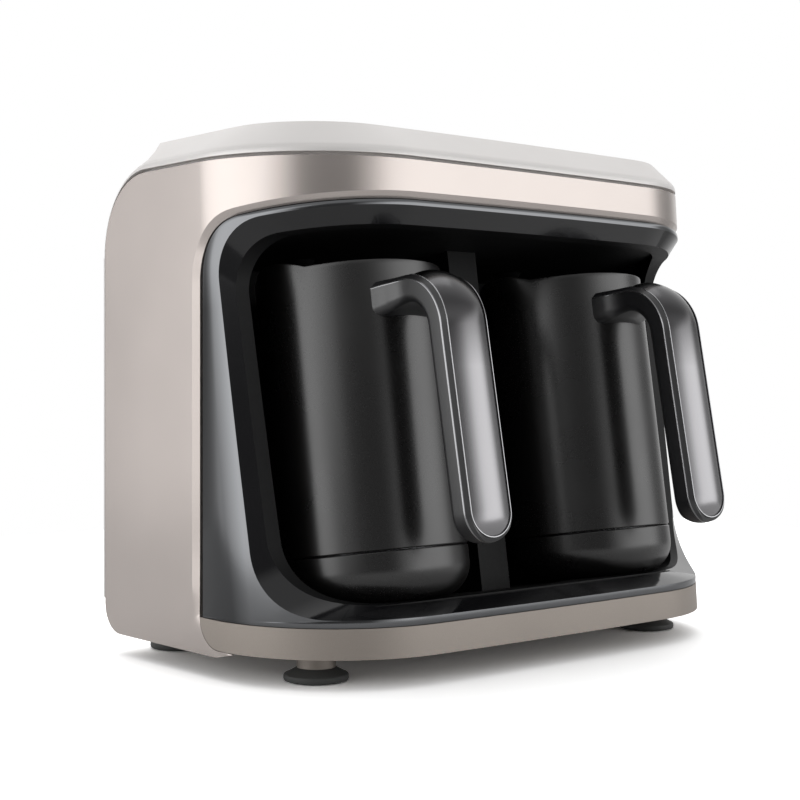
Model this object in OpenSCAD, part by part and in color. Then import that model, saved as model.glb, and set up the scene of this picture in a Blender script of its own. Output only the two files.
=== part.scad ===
/* [Body] */
// Width over the side panels
body_w = 275; // [262:1:300]
// Depth behind the corner centres, to the back cover
back_reach = 93.4; // [90:0.5:110]
// Radius of the front corners in plan
corner_r = 66; // [60:1:68]
// Radius of the bowed front
bow_r = 2500; // [1500:50:4000]
// Lean of the front, in degrees
front_lean = 3.87; // [2:0.1:5]
// Wall of the moulded shells
wall = 2.5; // [2:0.1:3]
// Underside of the side panels above the table
panel_bottom = 9.4; // [8:0.1:12]
// Top of the painted band
band_top = 217; // [215:1:225]
// Underside of the painted band at the front
band_bottom = 203.8; // [200:0.2:206]
// Radius of the panels' top back corner
panel_top_r = 34; // [25:1:38]
// Radius of the panels' bottom back corner
panel_bottom_r = 13; // [8:1:14]
// Joint line between two shells
seam = 0.25; // [0.2:0.05:0.4]

/* [Top cover] */
// Dark joint between band and cover
cover_gap = 1.6; // [1.2:0.1:2]
// Upright lip of the cover
cover_lip = 2.7; // [2:0.1:4]
// Width of the sloped edge in plan
slope_w = 13.7; // [10:0.1:18]
// Height of the sloped edge
slope_h = 11.2; // [9:0.1:13]
// Radius of the cover's back corner at the lip
cover_r = 40; // [34:1:44]
// How far the cover reaches down the back
cover_drop = 40; // [38:1:44]
// How far the cover stands behind the panels
back_step = 1.3; // [1:0.1:1.6]

/* [Base] */
// Underside of the front strip
strip_bottom = 12.2; // [11.5:0.1:14]
// Top of the front strip
strip_top = 24.8; // [23:0.1:26]
// Radius of the strip's rear lower corner
strip_r = 12; // [10:0.5:12.5]
// Distance between the feet, side to side
feet_x = 209.2; // [190:1:212]
// Distance between the feet, front to back
feet_y = 104.8; // [95:1:110]
// Front feet behind the corner centres' line, negative is in front
front_foot_y = -38.9; // [-42:0.5:-32]
// Radius of a rubber foot
foot_r = 13.75; // [11:0.25:15]
// Height of the rubber foot
foot_h = 5.4; // [4:0.1:6]
// Radius of a foot's stub
stub_r = 8.25; // [7:0.25:9]

/* [Opening] */
// Side panels' front edge behind the corner centres' line
edge_y = 4.8; // [2:0.2:8]
// Radius of that edge's upper corner
edge_r = 30; // [24:1:34]
// Gap round the black frame
frame_gap = 1.3; // [1:0.1:1.6]
// Thickness of the black frame
frame_t = 9.3; // [8:0.1:10]
// Lean of the opening's side, in degrees
opening_lean = 9.3; // [8:0.1:10]
// Place of the opening's side at mid height
opening_y = -25; // [-28:0.5:-22]
// Height at which that place is given
opening_mid = 100; // [90:1:110]
// Upper edge of the opening at the front
opening_top = 191; // [188:0.5:192]
// Lower lip of the opening
lip_z = 32.6; // [31:0.1:32.8]
// Lower corner radius of the opening
opening_r_low = 30; // [24:1:34]
// Upper corner radius of the opening
opening_r_high = 23; // [18:1:26]

/* [Niches] */
// Distance between the pot axes
pot_pitch = 134.6; // [130:0.2:140]
// Lean of the pots, in degrees
pot_lean = 8.64; // [6:0.1:10]
// Place of a pot's bottom centre, front to back
seat_y = -34.7; // [-36:0.1:-33]
// Height of a pot's bottom centre
seat_z = 28.05; // [27.8:0.05:29]
// Radius of a niche
niche_r = 58.5; // [55:0.5:60]
// Height of a niche along the pot axis
niche_h = 158.9; // [156:0.1:160]
// Wall of the niche liner
liner_t = 2; // [1.6:0.1:2.4]

/* [Pots] */
// Outer radius of a pot
pot_r = 41.3; // [38:0.1:43]
// Height of the base cup
cup_h = 22; // [20:0.5:24]
// Rounding of the base cup's bottom edge
cup_round = 14.5; // [10:0.5:16]
// Height of the steel vessel above the base cup
vessel_h = 121.9; // [110:0.1:124]
// Wall of the steel vessel
vessel_t = 1.2; // [0.8:0.1:1.6]
// Wall of the base cup
cup_t = 2.2; // [1.8:0.1:3]
// Rise of the pouring lip above the rim
spout_rise = 3.6; // [2:0.1:4]
// Radius of the pouring lip's outline
spout_r = 45; // [40:1:60]

/* [Handles] */
// Width of a handle
handle_w = 25; // [20:0.5:28]
// Thickness of a handle
handle_t = 14; // [11:0.5:15]
// Distance of the grip from the pot axis at the bend
grip_reach = 73; // [70:0.5:76]
// Lean of the grip away from the pot, in degrees
grip_lean = 2; // [0:0.1:3]
// Top of the handle above the pot's bottom
handle_top = 136.4; // [130:0.2:138]
// Lower end of the handle above the pot's bottom
handle_low = 20.6; // [18:0.2:30]
// Outer radius of the bend
bend_r = 27; // [22:1:30]
// Thickness of the outer inlay
inlay_t = 3; // [2:0.1:4]
// Rim of the core left round the inlay
inlay_rim = 3; // [2:0.1:4]
// Width of the thin trim round the inlay
trim_w = 0.8; // [0.6:0.1:1]

/* [Buttons] */
// Distance between the buttons
button_pitch = 110; // [80:1:130]
// Place of the buttons, front to back
button_y = -24; // [-30:1:-18]
// Radius of a button
button_r = 13; // [9:0.5:14]
// Travel of a button
button_travel = 1.2; // [0.8:0.1:1.3]
// How far a button stands proud
button_proud = 1.3; // [1.3:0.1:2]
// Play round a button
button_play = 0.2; // [0.15:0.05:0.4]

/* [Hidden] */
$fn = 96;

champagne = "#c3b8ae";
pale_grey = "#d6d3cf";
gloss_black = "#26262a";
deep_black = "#101012";
soft_black = "#1c1b1c";

left = -1;
right = 1;
far = 400;
eps = 0.01;
cut = 1;

// plan of the body, drawn square to the leaning front
corner_x = body_w / 2 - corner_r;
corner_y = -14.25;
bow_y = corner_y + sqrt(pow(bow_r - corner_r, 2) - pow(corner_x, 2));
bow_fn = 720;
back_y = corner_y + back_reach;
panel_back = back_y - back_step;

// heights of the top cover
lip_z0 = band_top + cover_gap;
lip_z1 = lip_z0 + cover_lip;
cover_top = lip_z1 + slope_h;
cover_back_z = lip_z1 - cover_drop;
shoulder_r = 20;
plateau_gap = 6.75;
shoulder_z = cover_top - slope_h - shoulder_r;
cover_side = wall + seam;

// feet
pad_h = 2.9;
pad_edge = 0.5;

// opening
opening_top_y = -68;
rim_slope = tan(opening_lean);

// pots
pot_x = pot_pitch / 2;
pot_h = cup_h + vessel_h;
pot_clear = 0.3;
column_back = 4;
grip_inner = grip_reach - handle_t / 2;
grip_outer = grip_reach + handle_t / 2;
bend_y = grip_outer - bend_r;
bend_z = handle_top - bend_r;
end_r = 6;
end_play = 0.4;
root_screw = 12;
root_screw_x = 4;
root_shank = 7;
root_head_r = 2.2;
root_head_h = 1.5;
core_wall = 1.2;
saddle_w = 12;
saddle_d = 4;
saddle_h = 4.8;
trim_drop = 0.4;
bed_gap = 0.1;
web_t = (root_screw + root_shank) / 2 - saddle_d;

// the grip's foremost point and the back screws' heads are the ends of the whole part
grip_run = bend_z - handle_low - end_r;
end_y = grip_outer - end_r + grip_run * sin(grip_lean);
end_z = bend_z - grip_run * cos(grip_lean);
front_y = seat_y - (end_y * cos(pot_lean) - end_z * sin(pot_lean)) - end_r;
screw_r = 1.5;
screw_head_r = 3;
screw_head_h = 1.8;
origin_y = -(back_y + screw_head_h + front_y) / 2;

// buttons and the boards beneath them
skin_z = cover_top - wall;
flange_r = button_r + 2;
flange_h = 1.2;
flange_gap = 0.4;
flange_z = skin_z - flange_gap - flange_h;
bracket_t = 2;
bracket_z = flange_z - 5.4 - bracket_t;
peg_h = 5.4;
board_t = 1.6;
board_z = bracket_z - peg_h - board_t;
stem_r = 2.5;
stem_play = 0.1;
switch_w = 6;
switch_h = 3.5;
plunger_r = 1.5;
plunger_h = 1;
stem_gap = 0.3;
stem_low = board_z + board_t + switch_h + plunger_h + stem_gap + button_travel;
spring_r = 5;
spring_wire = 0.4;
spring_turns = 3.5;
boss_r = 3.5;
boss_x = 80;
boss_y = [-42, -8];

bracket_rim = 7;
board_inset = 12;
board_rim = 5;
peg_x = boss_x - board_inset;
spring_room = 1;
spring_gap = 0.05;
collar_t = 1.6;
collar_h = 1.6;
guide_r = 1.5;
guide_play = 0.15;
guide_out = 20;
guide_rim = 1;
light_h = 1.4;
buzzer_r = 6;
buzzer_hole_r = 1;
dish_r = 90;
dish = 0.4;

// screws of the shells
screw_shank = 6;
base_shank = 8;
back_shank = 11;
screw_inset = 18;
base_screw_y = [14, 50];
lower_screw_z = 30;
upper_screw_z = cover_back_z - 14;
boss_half = 5;
boss_h = 12;
boss_depth = 10;

// back bay and its boards
power_board_w = 110;
power_board_h = 60;
power_board_y = back_y - wall - 12;
power_board_z = 60;
vent_pitch = 8;
vent_w = 3;
vent_h = 24;
vent_drop = 22;
intake_x = 50;
intake_y = 34;
intake_pitch = 6;
intake_w = 2.5;
intake_len = 30;
gland_inset = 42.5;
gland_x = gland_inset - body_w / 2;
gland_z = 40;
gland_r = 8;
gland_bore = 3.6;

gland_flange = 2;
gland_rim = 3;
gland_depth = 6;
power_post = 8;
power_drop = 26;
power_screw_drop = 10;
relay_x = -40;
relay_w = 16;
relay_d = 9.5;
relay_h = 15.4;
relay_gap = 4;
relay_lift = 12;
low_row_z = power_board_z - 20;
transformer_x = 6;
transformer_w = 24;
transformer_d = 11;
transformer_h = 20;
capacitor_x = -18;
capacitor_r = 5;
capacitor_h = 18;
terminal_x = -46;
terminal_d = 10;
terminal_h = 9;
port_pitch = 6;
port_r = 1.7;
port_z = low_row_z + terminal_h / 2;
wire_r = 1.1;
wire_room = 3;
wire_in = 0.4;
signal_lift = 30;

// sensors in the niches' ceilings
sensor_y = 35.3;
sensor_r = 4.5;
sensor_tube_r = 6;
sensor_tube_h = 12;
bezel_h = 2.3;
bezel_w = 2;
lens_t = 2.2;
lens_seat = 2;
lens_dome = 10.6;
lens_crown = 1.6;
sensor_board_w = 16;
pin_r = 1;

// couplers
coupler_w = 26;
coupler_h = 13;
coupler_z = 4;
socket_rim = 1;
floor_t = 1.4;
coupler_gap = 0.6;
blade_w = 1;
blade_pitch = 7;
blade_h = 6;
blade_reach = 9;
blade_play = 0.5;
socket_depth = 14;
coupler_step = 3;
coupler_lip = 2;

// heating plate and thermostat under each pot
plate_r = 30;
plate_t = 4;
stud_x = 9;
stud_y = 12;
thermostat_r = 6.5;
thermostat_h = 7.9;
tab_x = 4;
tab_w = 3;
tab_t = 0.8;
tab_h = 3;

function unit(v) = v / norm(v);

function port_x(i) = terminal_x + port_pitch * (i + 0.5);

// points of a rounding of radius r at p, between its neighbours
function rounding(before, p, after, r, n = 10) =
    let (u = unit(before - p), v = unit(after - p), half = acos(u * v) / 2,
         c = p + unit(u + v) * r / sin(half), a = p + u * r / tan(half) - c,
         b = p + v * r / tan(half) - c, turn = 180 - 2 * half)
    [for (i = [0 : n]) c + (a * sin((1 - i / n) * turn) + b * sin(i / n * turn)) / sin(turn)];

// an outline with a radius at each corner, 0 for a sharp one
function rounded(p, r) =
    [for (i = [0 : len(p) - 1], q = r[i] == 0 ? [p[i]]
        : rounding(p[(i + len(p) - 1) % len(p)], p[i], p[(i + 1) % len(p)], r[i])) q];

// outline of the opening's side, from the front along the lip, up and back to the front
function opening_line(z) = opening_y + (z - opening_mid) * rim_slope;
function opening_outline(low, high) =
    let (top_line = [-far, high + (far + opening_top_y) * rim_slope],
         yb = opening_line(low),
         zt = (high + rim_slope * (opening_top_y - opening_y + opening_mid * rim_slope))
            / (1 + rim_slope * rim_slope))
    rounded([[-far, low], [yb, low], [opening_line(zt), zt], top_line],
            [0, opening_r_low, opening_r_high, 0]);

// outline of the gap between the side panels' front edge and the band
function window_outline(gap, low) =
    let (back = edge_y - gap, top = band_bottom - gap,
         corner = top - rim_slope * (back - opening_top_y))
    rounded([[-far, low], [back, low], [back, corner],
             [-far, top + (far + opening_top_y) * rim_slope]],
            [0, low < strip_bottom + seam ? strip_r - gap : 0, edge_r - gap, 0]);

// side outline of a shell: flat top and bottom, rounded at the back
function side_outline(back, low, high, r_low, r_high) =
    rounded([[-far, low], [back, low], [back, high], [-far, high]], [0, r_low, r_high, 0]);

module body_place() {
    translate([0, origin_y, 0]) children();
}

module pot_place(side) {
    body_place() translate([side * pot_x, seat_y, seat_z]) rotate([-pot_lean, 0, 0]) children();
}

// extrudes a side outline across the body
module across(width, x = 0) {
    translate([x - width / 2, 0, 0]) rotate([90, 0, 90]) linear_extrude(width) children();
}

module side_slab(points, width = body_w + 2 * cut, x = 0) {
    across(width, x) polygon(points);
}

module plan(inset) {
    half = body_w / 2 - inset;
    front = corner_y - 2 * corner_r;
    front_x = corner_x * (1 + 2 * corner_r / (bow_y - corner_y));
    translate([-half, corner_y]) square([2 * half, far]);
    for (side = [left, right])
        translate([side * corner_x, corner_y]) circle(corner_r - inset);
    intersection() {
        translate([0, bow_y]) circle(bow_r - inset, $fn = bow_fn);
        polygon([[-corner_x, corner_y + eps], [corner_x, corner_y + eps],
                 [front_x, front], [-front_x, front]]);
    }
}

// leaning body between two heights
module leaning(inset, z0, z1) {
    intersection() {
        rotate([-front_lean, 0, 0]) translate([0, 0, -far / 2]) linear_extrude(2 * far) plan(inset);
        translate([-far, -far, z0]) cube([2 * far, 2 * far, z1 - z0]);
    }
}

module panel_sides(inset, low, high) {
    side_slab(side_outline(panel_back - inset, low, high, panel_bottom_r - inset,
                           panel_top_r - inset), body_w + 2 * cut);
}

module outer_shell() {
    ledge = 8;
    ledge_t = 2.4;
    color(champagne) body_place() difference() {
        union() {
            difference() {
                intersection() {
                    leaning(0, panel_bottom, band_top);
                    panel_sides(0, panel_bottom, band_top);
                }
                leaning(wall, panel_bottom - cut, band_top - ledge_t);
                leaning(wall + ledge, panel_bottom - cut, band_top + cut);
                translate([-body_w / 2 + wall, back_y - wall - ledge - seam, panel_bottom - cut])
                    cube([body_w - 2 * wall, far, far]);
                intersection() {
                    leaning(wall, panel_bottom - cut, band_top + cut);
                    translate([-far, panel_back - panel_top_r, band_top - panel_top_r])
                        cube([2 * far, far, far]);
                }
                side_slab(window_outline(0, strip_bottom));
                translate([-far, -far, 0]) cube([2 * far, far + edge_y - 2 * strip_r, strip_top]);
            }
            shell_bosses();
        }
        base_screw_places() cylinder(r = screw_r, h = strip_bottom + boss_h);
        back_screw_places(upper_screw_z) cylinder(r = screw_r, h = boss_depth + wall);
    }
}

// blocks on the panels' inner faces that take the base and upper back screws
module shell_bosses() {
    reach = screw_inset + boss_half - wall + eps;
    for (side = [left, right], y = base_screw_y)
        translate([side * (body_w / 2 - wall + eps - reach / 2) - reach / 2, y - boss_half,
                   strip_bottom + wall + seam])
            cube([reach, 2 * boss_half, boss_h - wall - seam]);
    for (side = [left, right])
        translate([side * (body_w / 2 - wall + eps - reach / 2) - reach / 2,
                   back_y - wall - seam - boss_depth, upper_screw_z - boss_half])
            cube([reach, boss_depth, 2 * boss_half]);
}

// one convex form of the cover: lip, plateau, the round back and the shoulder above it
module cover_form(inset, drop) {
    hull($fn = 32) {
        intersection() {
            leaning(inset, lip_z0 - drop, lip_z1 - inset);
            translate([-far, -far, 0]) cube([2 * far, far, far]);
        }
        intersection() {
            leaning(slope_w + inset, cover_top - inset - eps, cover_top - inset);
            translate([-far, -far, 0]) cube([2 * far, far, far]);
        }
        intersection() {
            across(body_w - 2 * inset) translate([back_y - cover_r, cover_back_z])
                circle(cover_r - inset, $fn = 64);
            translate([-far, back_y - cover_r, cover_back_z - drop]) cube(2 * far);
        }
        across(body_w - 2 * inset - 2 * slope_w) {
            translate([0, shoulder_z])
                square([back_y - shoulder_r - plateau_gap, cover_top - inset - shoulder_z]);
            translate([back_y - shoulder_r, shoulder_z]) circle(shoulder_r - inset, $fn = 64);
        }
    }
}

// the room of one side panel inside the cover's or the back cover's outline
module panel_room(low) {
    for (side = [left, right])
        side_slab(side_outline(panel_back + seam, low, lip_z0, panel_bottom_r, panel_top_r + seam),
                  cover_side, side * (body_w / 2 - cover_side / 2 + eps));
}

module button_places() {
    for (side = [left, right]) translate([side * button_pitch / 2, button_y, 0]) children();
}

module boss_places() {
    for (side = [left, right], y = boss_y) translate([side * boss_x, y, 0]) children();
}

module guide_places() {
    for (side = [left, right])
        translate([side * (button_pitch / 2 - guide_out), button_y, 0]) children();
}

module top_cover() {
    skirt_in = wall + 1;
    skirt_t = 2;
    color(pale_grey) body_place() difference() {
        union() {
            difference() {
                cover_form(0, 0);
                cover_form(wall, 2 * wall);
                panel_room(0);
                translate([-far, -far, 0]) cube([2 * far, far + panel_back - panel_top_r, lip_z0]);
            }
            // skirt that stands on the shell's ledge and closes the joint
            intersection() {
                difference() {
                    leaning(skirt_in, band_top, lip_z1);
                    leaning(skirt_in + skirt_t, band_top - cut, lip_z1 + cut);
                }
                translate([-far, -far, 0]) cube([2 * far, far + back_y - 2 * panel_top_r, far]);
            }
            boss_places() translate([0, 0, bracket_z + bracket_t])
                cylinder(r = boss_r, h = skin_z + eps - bracket_z - bracket_t);
        }
        button_places() translate([0, 0, skin_z - cut])
            cylinder(r = button_r + button_play, h = wall + 2 * cut);
        guide_places() translate([0, 0, skin_z - cut])
            cylinder(r = guide_r + guide_play, h = wall + 2 * cut);
        boss_places() translate([0, 0, bracket_z])
            cylinder(r = screw_r, h = skin_z - bracket_z - wall);
    }
}

module back_cover() {
    color(pale_grey) body_place() difference() {
        side_slab(side_outline(back_y, panel_bottom, far, panel_bottom_r + back_step, 0), body_w);
        side_slab(side_outline(back_y - wall, panel_bottom + wall, far + cut,
                               panel_bottom_r + back_step - wall, 0));
        translate([-far, -far, 0]) cube([2 * far, far + back_y - panel_bottom_r, far]);
        translate([-far, -far, 0]) cube([2 * far, 2 * far, strip_bottom + wall + seam]);
        translate([-far, -far, cover_back_z - seam]) cube([2 * far, 2 * far, far + 2 * cut]);
        panel_room(0);
        for (side = [left, right])
            translate([side * body_w / 2 - cover_side, 0, 0]) cube([2 * cover_side, far, strip_top]);
        translate([gland_x, 0, gland_z]) rotate([-90, 0, 0])
            cylinder(r = gland_r + seam, h = far);
        for (z = [lower_screw_z, upper_screw_z])
            back_screw_places(z) cylinder(r = screw_r + seam, h = 4 * wall, center = true);
        for (i = [-5 : 5])
            translate([i * vent_pitch, back_y, cover_back_z - vent_drop])
                cube([vent_w, 4 * wall, vent_h], center = true);
    }
}

module back_screw_places(z) {
    for (side = [left, right])
        translate([side * (body_w / 2 - screw_inset), back_y, z]) rotate([90, 0, 0]) children();
}

module base_screw_places() {
    for (side = [left, right], y = base_screw_y)
        translate([side * (body_w / 2 - screw_inset), y, 0]) children();
}

module base_tray() {
    post_h = power_board_z - strip_bottom;
    bay = wall + 2 * seam;
    color(champagne) body_place() difference() {
        union() {
            // floor behind the front strip
            intersection() {
                leaning(bay, strip_bottom, strip_bottom + wall);
                side_slab(side_outline(panel_back, panel_bottom, far, panel_bottom_r, 0));
            }
            // front strip, flush with the panels
            intersection() {
                difference() {
                    leaning(0, strip_bottom, strip_top);
                    leaning(wall + seam, strip_bottom + wall, strip_top + cut);
                }
                side_slab(window_outline(seam, strip_bottom + seam / 2));
            }
            // posts that carry the power board
            for (side = [left, right])
                translate([side * (power_board_w / 2 - power_post / 2) - power_post / 2,
                           power_board_y - power_post, strip_bottom])
                    cube([power_post, power_post - seam, post_h]);
            // bosses for the back cover's lower screws
            intersection() {
                for (side = [left, right])
                    translate([side * (body_w / 2 - screw_inset) - boss_half,
                               back_y - wall - seam - boss_depth, strip_bottom + eps])
                        cube([2 * boss_half, boss_depth, lower_screw_z + boss_half - strip_bottom]);
                side_slab(side_outline(back_y - wall - seam, panel_bottom, far,
                                       panel_bottom_r + back_step + wall, 0));
            }
        }
        base_screw_places() cylinder(r = screw_r + seam, h = strip_bottom + 2 * wall);
        back_screw_places(lower_screw_z) cylinder(r = screw_r, h = boss_depth + wall);
        power_screw_places() cylinder(r = screw_r, h = far / 4, center = true);
        for (i = [-6 : 6], side = [left, right])
            translate([side * intake_x + i * intake_pitch, intake_y, strip_bottom])
                cube([intake_w, intake_len, 4 * wall], center = true);
    }
}

module front_frame() {
    color(gloss_black) body_place() difference() {
        intersection() {
            leaning(0, strip_top + seam, band_bottom);
            side_slab(window_outline(frame_gap, strip_top + seam));
        }
        leaning(frame_t, strip_top, band_bottom + cut);
        side_slab(opening_outline(lip_z, opening_top));
    }
}

// the room of both niches, grown by t
module niche_room(t) {
    body_place() translate([0, seat_y, seat_z]) rotate([-pot_lean, 0, 0])
        translate([0, 0, -pot_clear - t]) {
            for (side = [left, right])
                translate([side * pot_x, 0, 0]) cylinder(r = niche_r + t, h = niche_h + 2 * t);
            translate([-pot_x - niche_r - t, -far, 0])
                cube([pot_pitch + 2 * niche_r + 2 * t, far - column_back + t, niche_h + 2 * t]);
        }
}

module sensor_places(x = 0) {
    for (side = [left, right])
        pot_place(side) translate([x, sensor_y, niche_h - pot_clear]) children();
}

module niche_liner() {
    color(deep_black) difference() {
        intersection() {
            niche_room(liner_t);
            body_place() leaning(frame_t + seam, strip_bottom + wall + seam, band_top);
        }
        niche_room(0);
        for (side = [left, right])
            body_place() side_slab(opening_outline(strip_top + seam, opening_top + liner_t),
                                   niche_r, side * (pot_x + niche_r));
        sensor_places() cylinder(r = sensor_tube_r, h = 4 * liner_t, center = true);
        for (side = [left, right])
            pot_place(side) translate([-coupler_w / 2 + coupler_step, pot_r, coupler_z + coupler_lip])
                cube([coupler_w - 2 * coupler_step, far / 4, coupler_h - 2 * coupler_lip]);
    }
}

module foot_places() {
    for (side = [left, right], y = [0, feet_y])
        translate([side * feet_x / 2, front_foot_y + y, 0]) children();
}

module foot_stubs() {
    color(champagne) body_place() foot_places() translate([0, 0, foot_h])
        cylinder(r = stub_r, h = strip_bottom - foot_h);
}

module foot_pads() {
    color("#3a3a3c") body_place() foot_places() {
        rotate_extrude() polygon([[0, 0], [foot_r - pad_edge, 0], [foot_r, pad_edge], [foot_r, pad_h],
                                  [stub_r, foot_h], [0, foot_h]]);
    }
}

module control_bracket() {
    w = 2 * (boss_x + bracket_rim);
    y0 = min(boss_y) - bracket_rim;
    d = max(boss_y) - min(boss_y) + 2 * bracket_rim;
    color(soft_black) body_place() difference() {
        union() {
            translate([-w / 2, y0, bracket_z]) cube([w, d, bracket_t]);
            button_places() translate([0, 0, bracket_z]) 
                cylinder(r = spring_r + spring_room + collar_t, h = bracket_t + collar_h);
            for (x = [-1, 1], y = boss_y)
                translate([x * peg_x, y, board_z + board_t])
                    cylinder(r = boss_r, h = peg_h + eps);
        }
        button_places() translate([0, 0, bracket_z - cut])
            cylinder(r = stem_r + stem_play, h = bracket_t + 4 * cut);
        button_places() translate([0, 0, bracket_z + bracket_t])
            cylinder(r = spring_r + spring_room, h = collar_h + cut);
        guide_places() translate([0, 0, bracket_z - cut])
            cylinder(r = guide_r + guide_play, h = bracket_t + 2 * cut);
        boss_places() translate([0, 0, bracket_z - cut]) cylinder(r = screw_r + seam, h = 2 * bracket_t);
        for (x = [-1, 1], y = boss_y)
            translate([x * peg_x, y, board_z + board_t - cut])
                cylinder(r = screw_r, h = peg_h);
    }
}

module control_board() {
    w = 2 * (peg_x + board_rim);
    y0 = min(boss_y) - board_rim;
    d = max(boss_y) - min(boss_y) + 2 * board_rim;
    color("#1f5a38") body_place() difference() {
        translate([-w / 2, y0, board_z]) cube([w, d, board_t]);
        for (x = [-1, 1], y = boss_y)
            translate([x * peg_x, y, board_z - cut])
                cylinder(r = screw_r + seam, h = board_t + 2 * cut);
    }
}

module board_screws() {
    color("silver") body_place() {
        for (x = [-1, 1], y = boss_y)
            translate([x * peg_x, y, board_z]) {
                translate([0, 0, -screw_head_h]) cylinder(r = screw_head_r, h = screw_head_h);
                cylinder(r = screw_r - eps, h = screw_shank);
            }
        boss_places() translate([0, 0, bracket_z]) {
            translate([0, 0, -screw_head_h]) cylinder(r = screw_head_r, h = screw_head_h);
            cylinder(r = screw_r - eps, h = screw_shank);
        }
        power_screw_places() {
            translate([0, 0, -screw_head_h]) cylinder(r = screw_head_r, h = screw_head_h);
            cylinder(r = screw_r - eps, h = screw_shank);
        }
    }
}

module tact_switches() {
    color("#2b2b2b") body_place() button_places() translate([0, 0, board_z + board_t]) {
        translate([-switch_w / 2, -switch_w / 2, 0]) cube([switch_w, switch_w, switch_h]);
        translate([0, 0, switch_h]) cylinder(r = plunger_r, h = plunger_h);
    }
}

module status_lights() {
    color("white") body_place() guide_places() translate([0, 0, board_z + board_t])
        cylinder(r = guide_r, h = light_h);
}

module light_guides() {
    low = board_z + board_t + light_h + stem_gap;
    color("#e8f0f4") body_place() guide_places() translate([0, 0, low]) {
        cylinder(r = guide_r, h = cover_top - low);
        translate([0, 0, bracket_z + bracket_t + stem_play - low])
            cylinder(r = guide_r + guide_rim, h = flange_h);
    }
}

module buzzer() {
    color("#202020") body_place() translate([0, button_y, board_z - buzzer_r]) difference() {
        cylinder(r = buzzer_r, h = buzzer_r);
        translate([0, 0, -cut]) cylinder(r = buzzer_hole_r, h = buzzer_r / 2);
    }
}

// button cap: dished disc, flange under the cover and stem down to the switch
module button(side) {
    color(soft_black) body_place() translate([side * button_pitch / 2, button_y, 0]) difference() {
        union() {
            translate([0, 0, flange_z]) cylinder(r = flange_r, h = flange_h);
            translate([0, 0, flange_z]) cylinder(r = button_r, h = cover_top + button_proud - flange_z);
            translate([0, 0, stem_low]) cylinder(r = stem_r, h = flange_z - stem_low + eps);
        }
        translate([0, 0, cover_top + button_proud - dish + dish_r]) sphere(dish_r, $fn = 180);
    }
}

// a round wire swept along a path of points
module wire(path, r, sides = 8) {
    n = len(path);
    heading = [for (i = [0 : n - 1]) unit(path[min(i + 1, n - 1)] - path[max(i - 1, 0)])];
    across_at = [for (t = heading) unit(cross(t, abs(t[2]) > 0.8 ? [0, 1, 0.01] : [0.01, 0.02, 1]))];
    ring = [for (i = [0 : n - 1], s = [0 : sides - 1])
        path[i] + r * (across_at[i] * cos(s * 360 / sides)
            + cross(heading[i], across_at[i]) * sin(s * 360 / sides))];
    skin = [for (i = [0 : n - 2], s = [0 : sides - 1])
        let (a = i * sides + s, b = i * sides + (s + 1) % sides)
        [a, b, b + sides, a + sides]];
    caps = [[for (s = [sides - 1 : -1 : 0]) s], [for (s = [0 : sides - 1]) (n - 1) * sides + s]];
    polyhedron(ring, concat([for (f = skin) [f[3], f[2], f[1], f[0]]],
        [for (c = caps) [for (i = [len(c) - 1 : -1 : 0]) c[i]]]), convexity = 6);
}

module button_spring(side) {
    low = bracket_z + bracket_t + spring_wire + spring_gap;
    rise = flange_z - spring_gap - spring_wire - low;
    steps = 16 * spring_turns;
    mean_r = spring_r - spring_wire;
    color("silver") body_place() translate([side * button_pitch / 2, button_y, low])
        wire([for (i = [0 : steps])
            [mean_r * cos(360 * spring_turns * i / steps), mean_r * sin(360 * spring_turns * i / steps),
             rise * i / steps]], spring_wire, 8);
}

module power_screw_places() {
    for (side = [left, right])
        translate([side * (power_board_w / 2 - power_post / 2), power_board_y + board_t,
                   power_board_z - power_screw_drop])
            rotate([90, 0, 0]) children();
}

module power_board() {
    color("#1f5a38") body_place() difference() {
        translate([-power_board_w / 2, power_board_y, power_board_z - power_drop])
            cube([power_board_w, board_t, power_board_h]);
        power_screw_places() cylinder(r = screw_r + seam, h = 4 * board_t, center = true);
    }
}

module relays() {
    color("#20304a") body_place() for (i = [0, 1, 2])
        translate([relay_x + i * (relay_w + relay_gap), power_board_y - relay_d,
                   power_board_z + relay_lift])
            cube([relay_w, relay_d, relay_h]);
}

module transformer() {
    color("#c9a227") body_place()
        translate([transformer_x, power_board_y - transformer_d, low_row_z])
            cube([transformer_w, transformer_d, transformer_h]);
}

module capacitor() {
    color("#2c3f66") body_place()
        translate([capacitor_x, power_board_y - capacitor_r - stem_play, low_row_z])
            cylinder(r = capacitor_r, h = capacitor_h);
}

module terminal_block() {
    color("#dddddd") body_place() difference() {
        translate([terminal_x, power_board_y - terminal_d, low_row_z])
            cube([3 * port_pitch, terminal_d, terminal_h]);
        for (i = [0 : 2])
            translate([port_x(i), power_board_y - terminal_d / 2, port_z]) rotate([90, 0, 0])
                cylinder(r = port_r, h = terminal_d);
    }
}

module cord_gland() {
    color(soft_black) body_place() translate([gland_x, 0, gland_z]) rotate([-90, 0, 0]) difference() {
        union() {
            translate([0, 0, back_y - wall - gland_flange - seam])
                cylinder(r = gland_r + gland_rim, h = gland_flange);
            translate([0, 0, back_y - wall - gland_depth]) cylinder(r = gland_r, h = wall + gland_depth);
        }
        translate([0, 0, back_y - wall - gland_depth - cut])
            cylinder(r = gland_bore, h = wall + gland_depth + 2 * cut);
    }
}

// a point between three others, on the curve that they pull
function bow(a, b, c, t) = pow(1 - t, 2) * a + 2 * t * (1 - t) * b + t * t * c;

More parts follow.
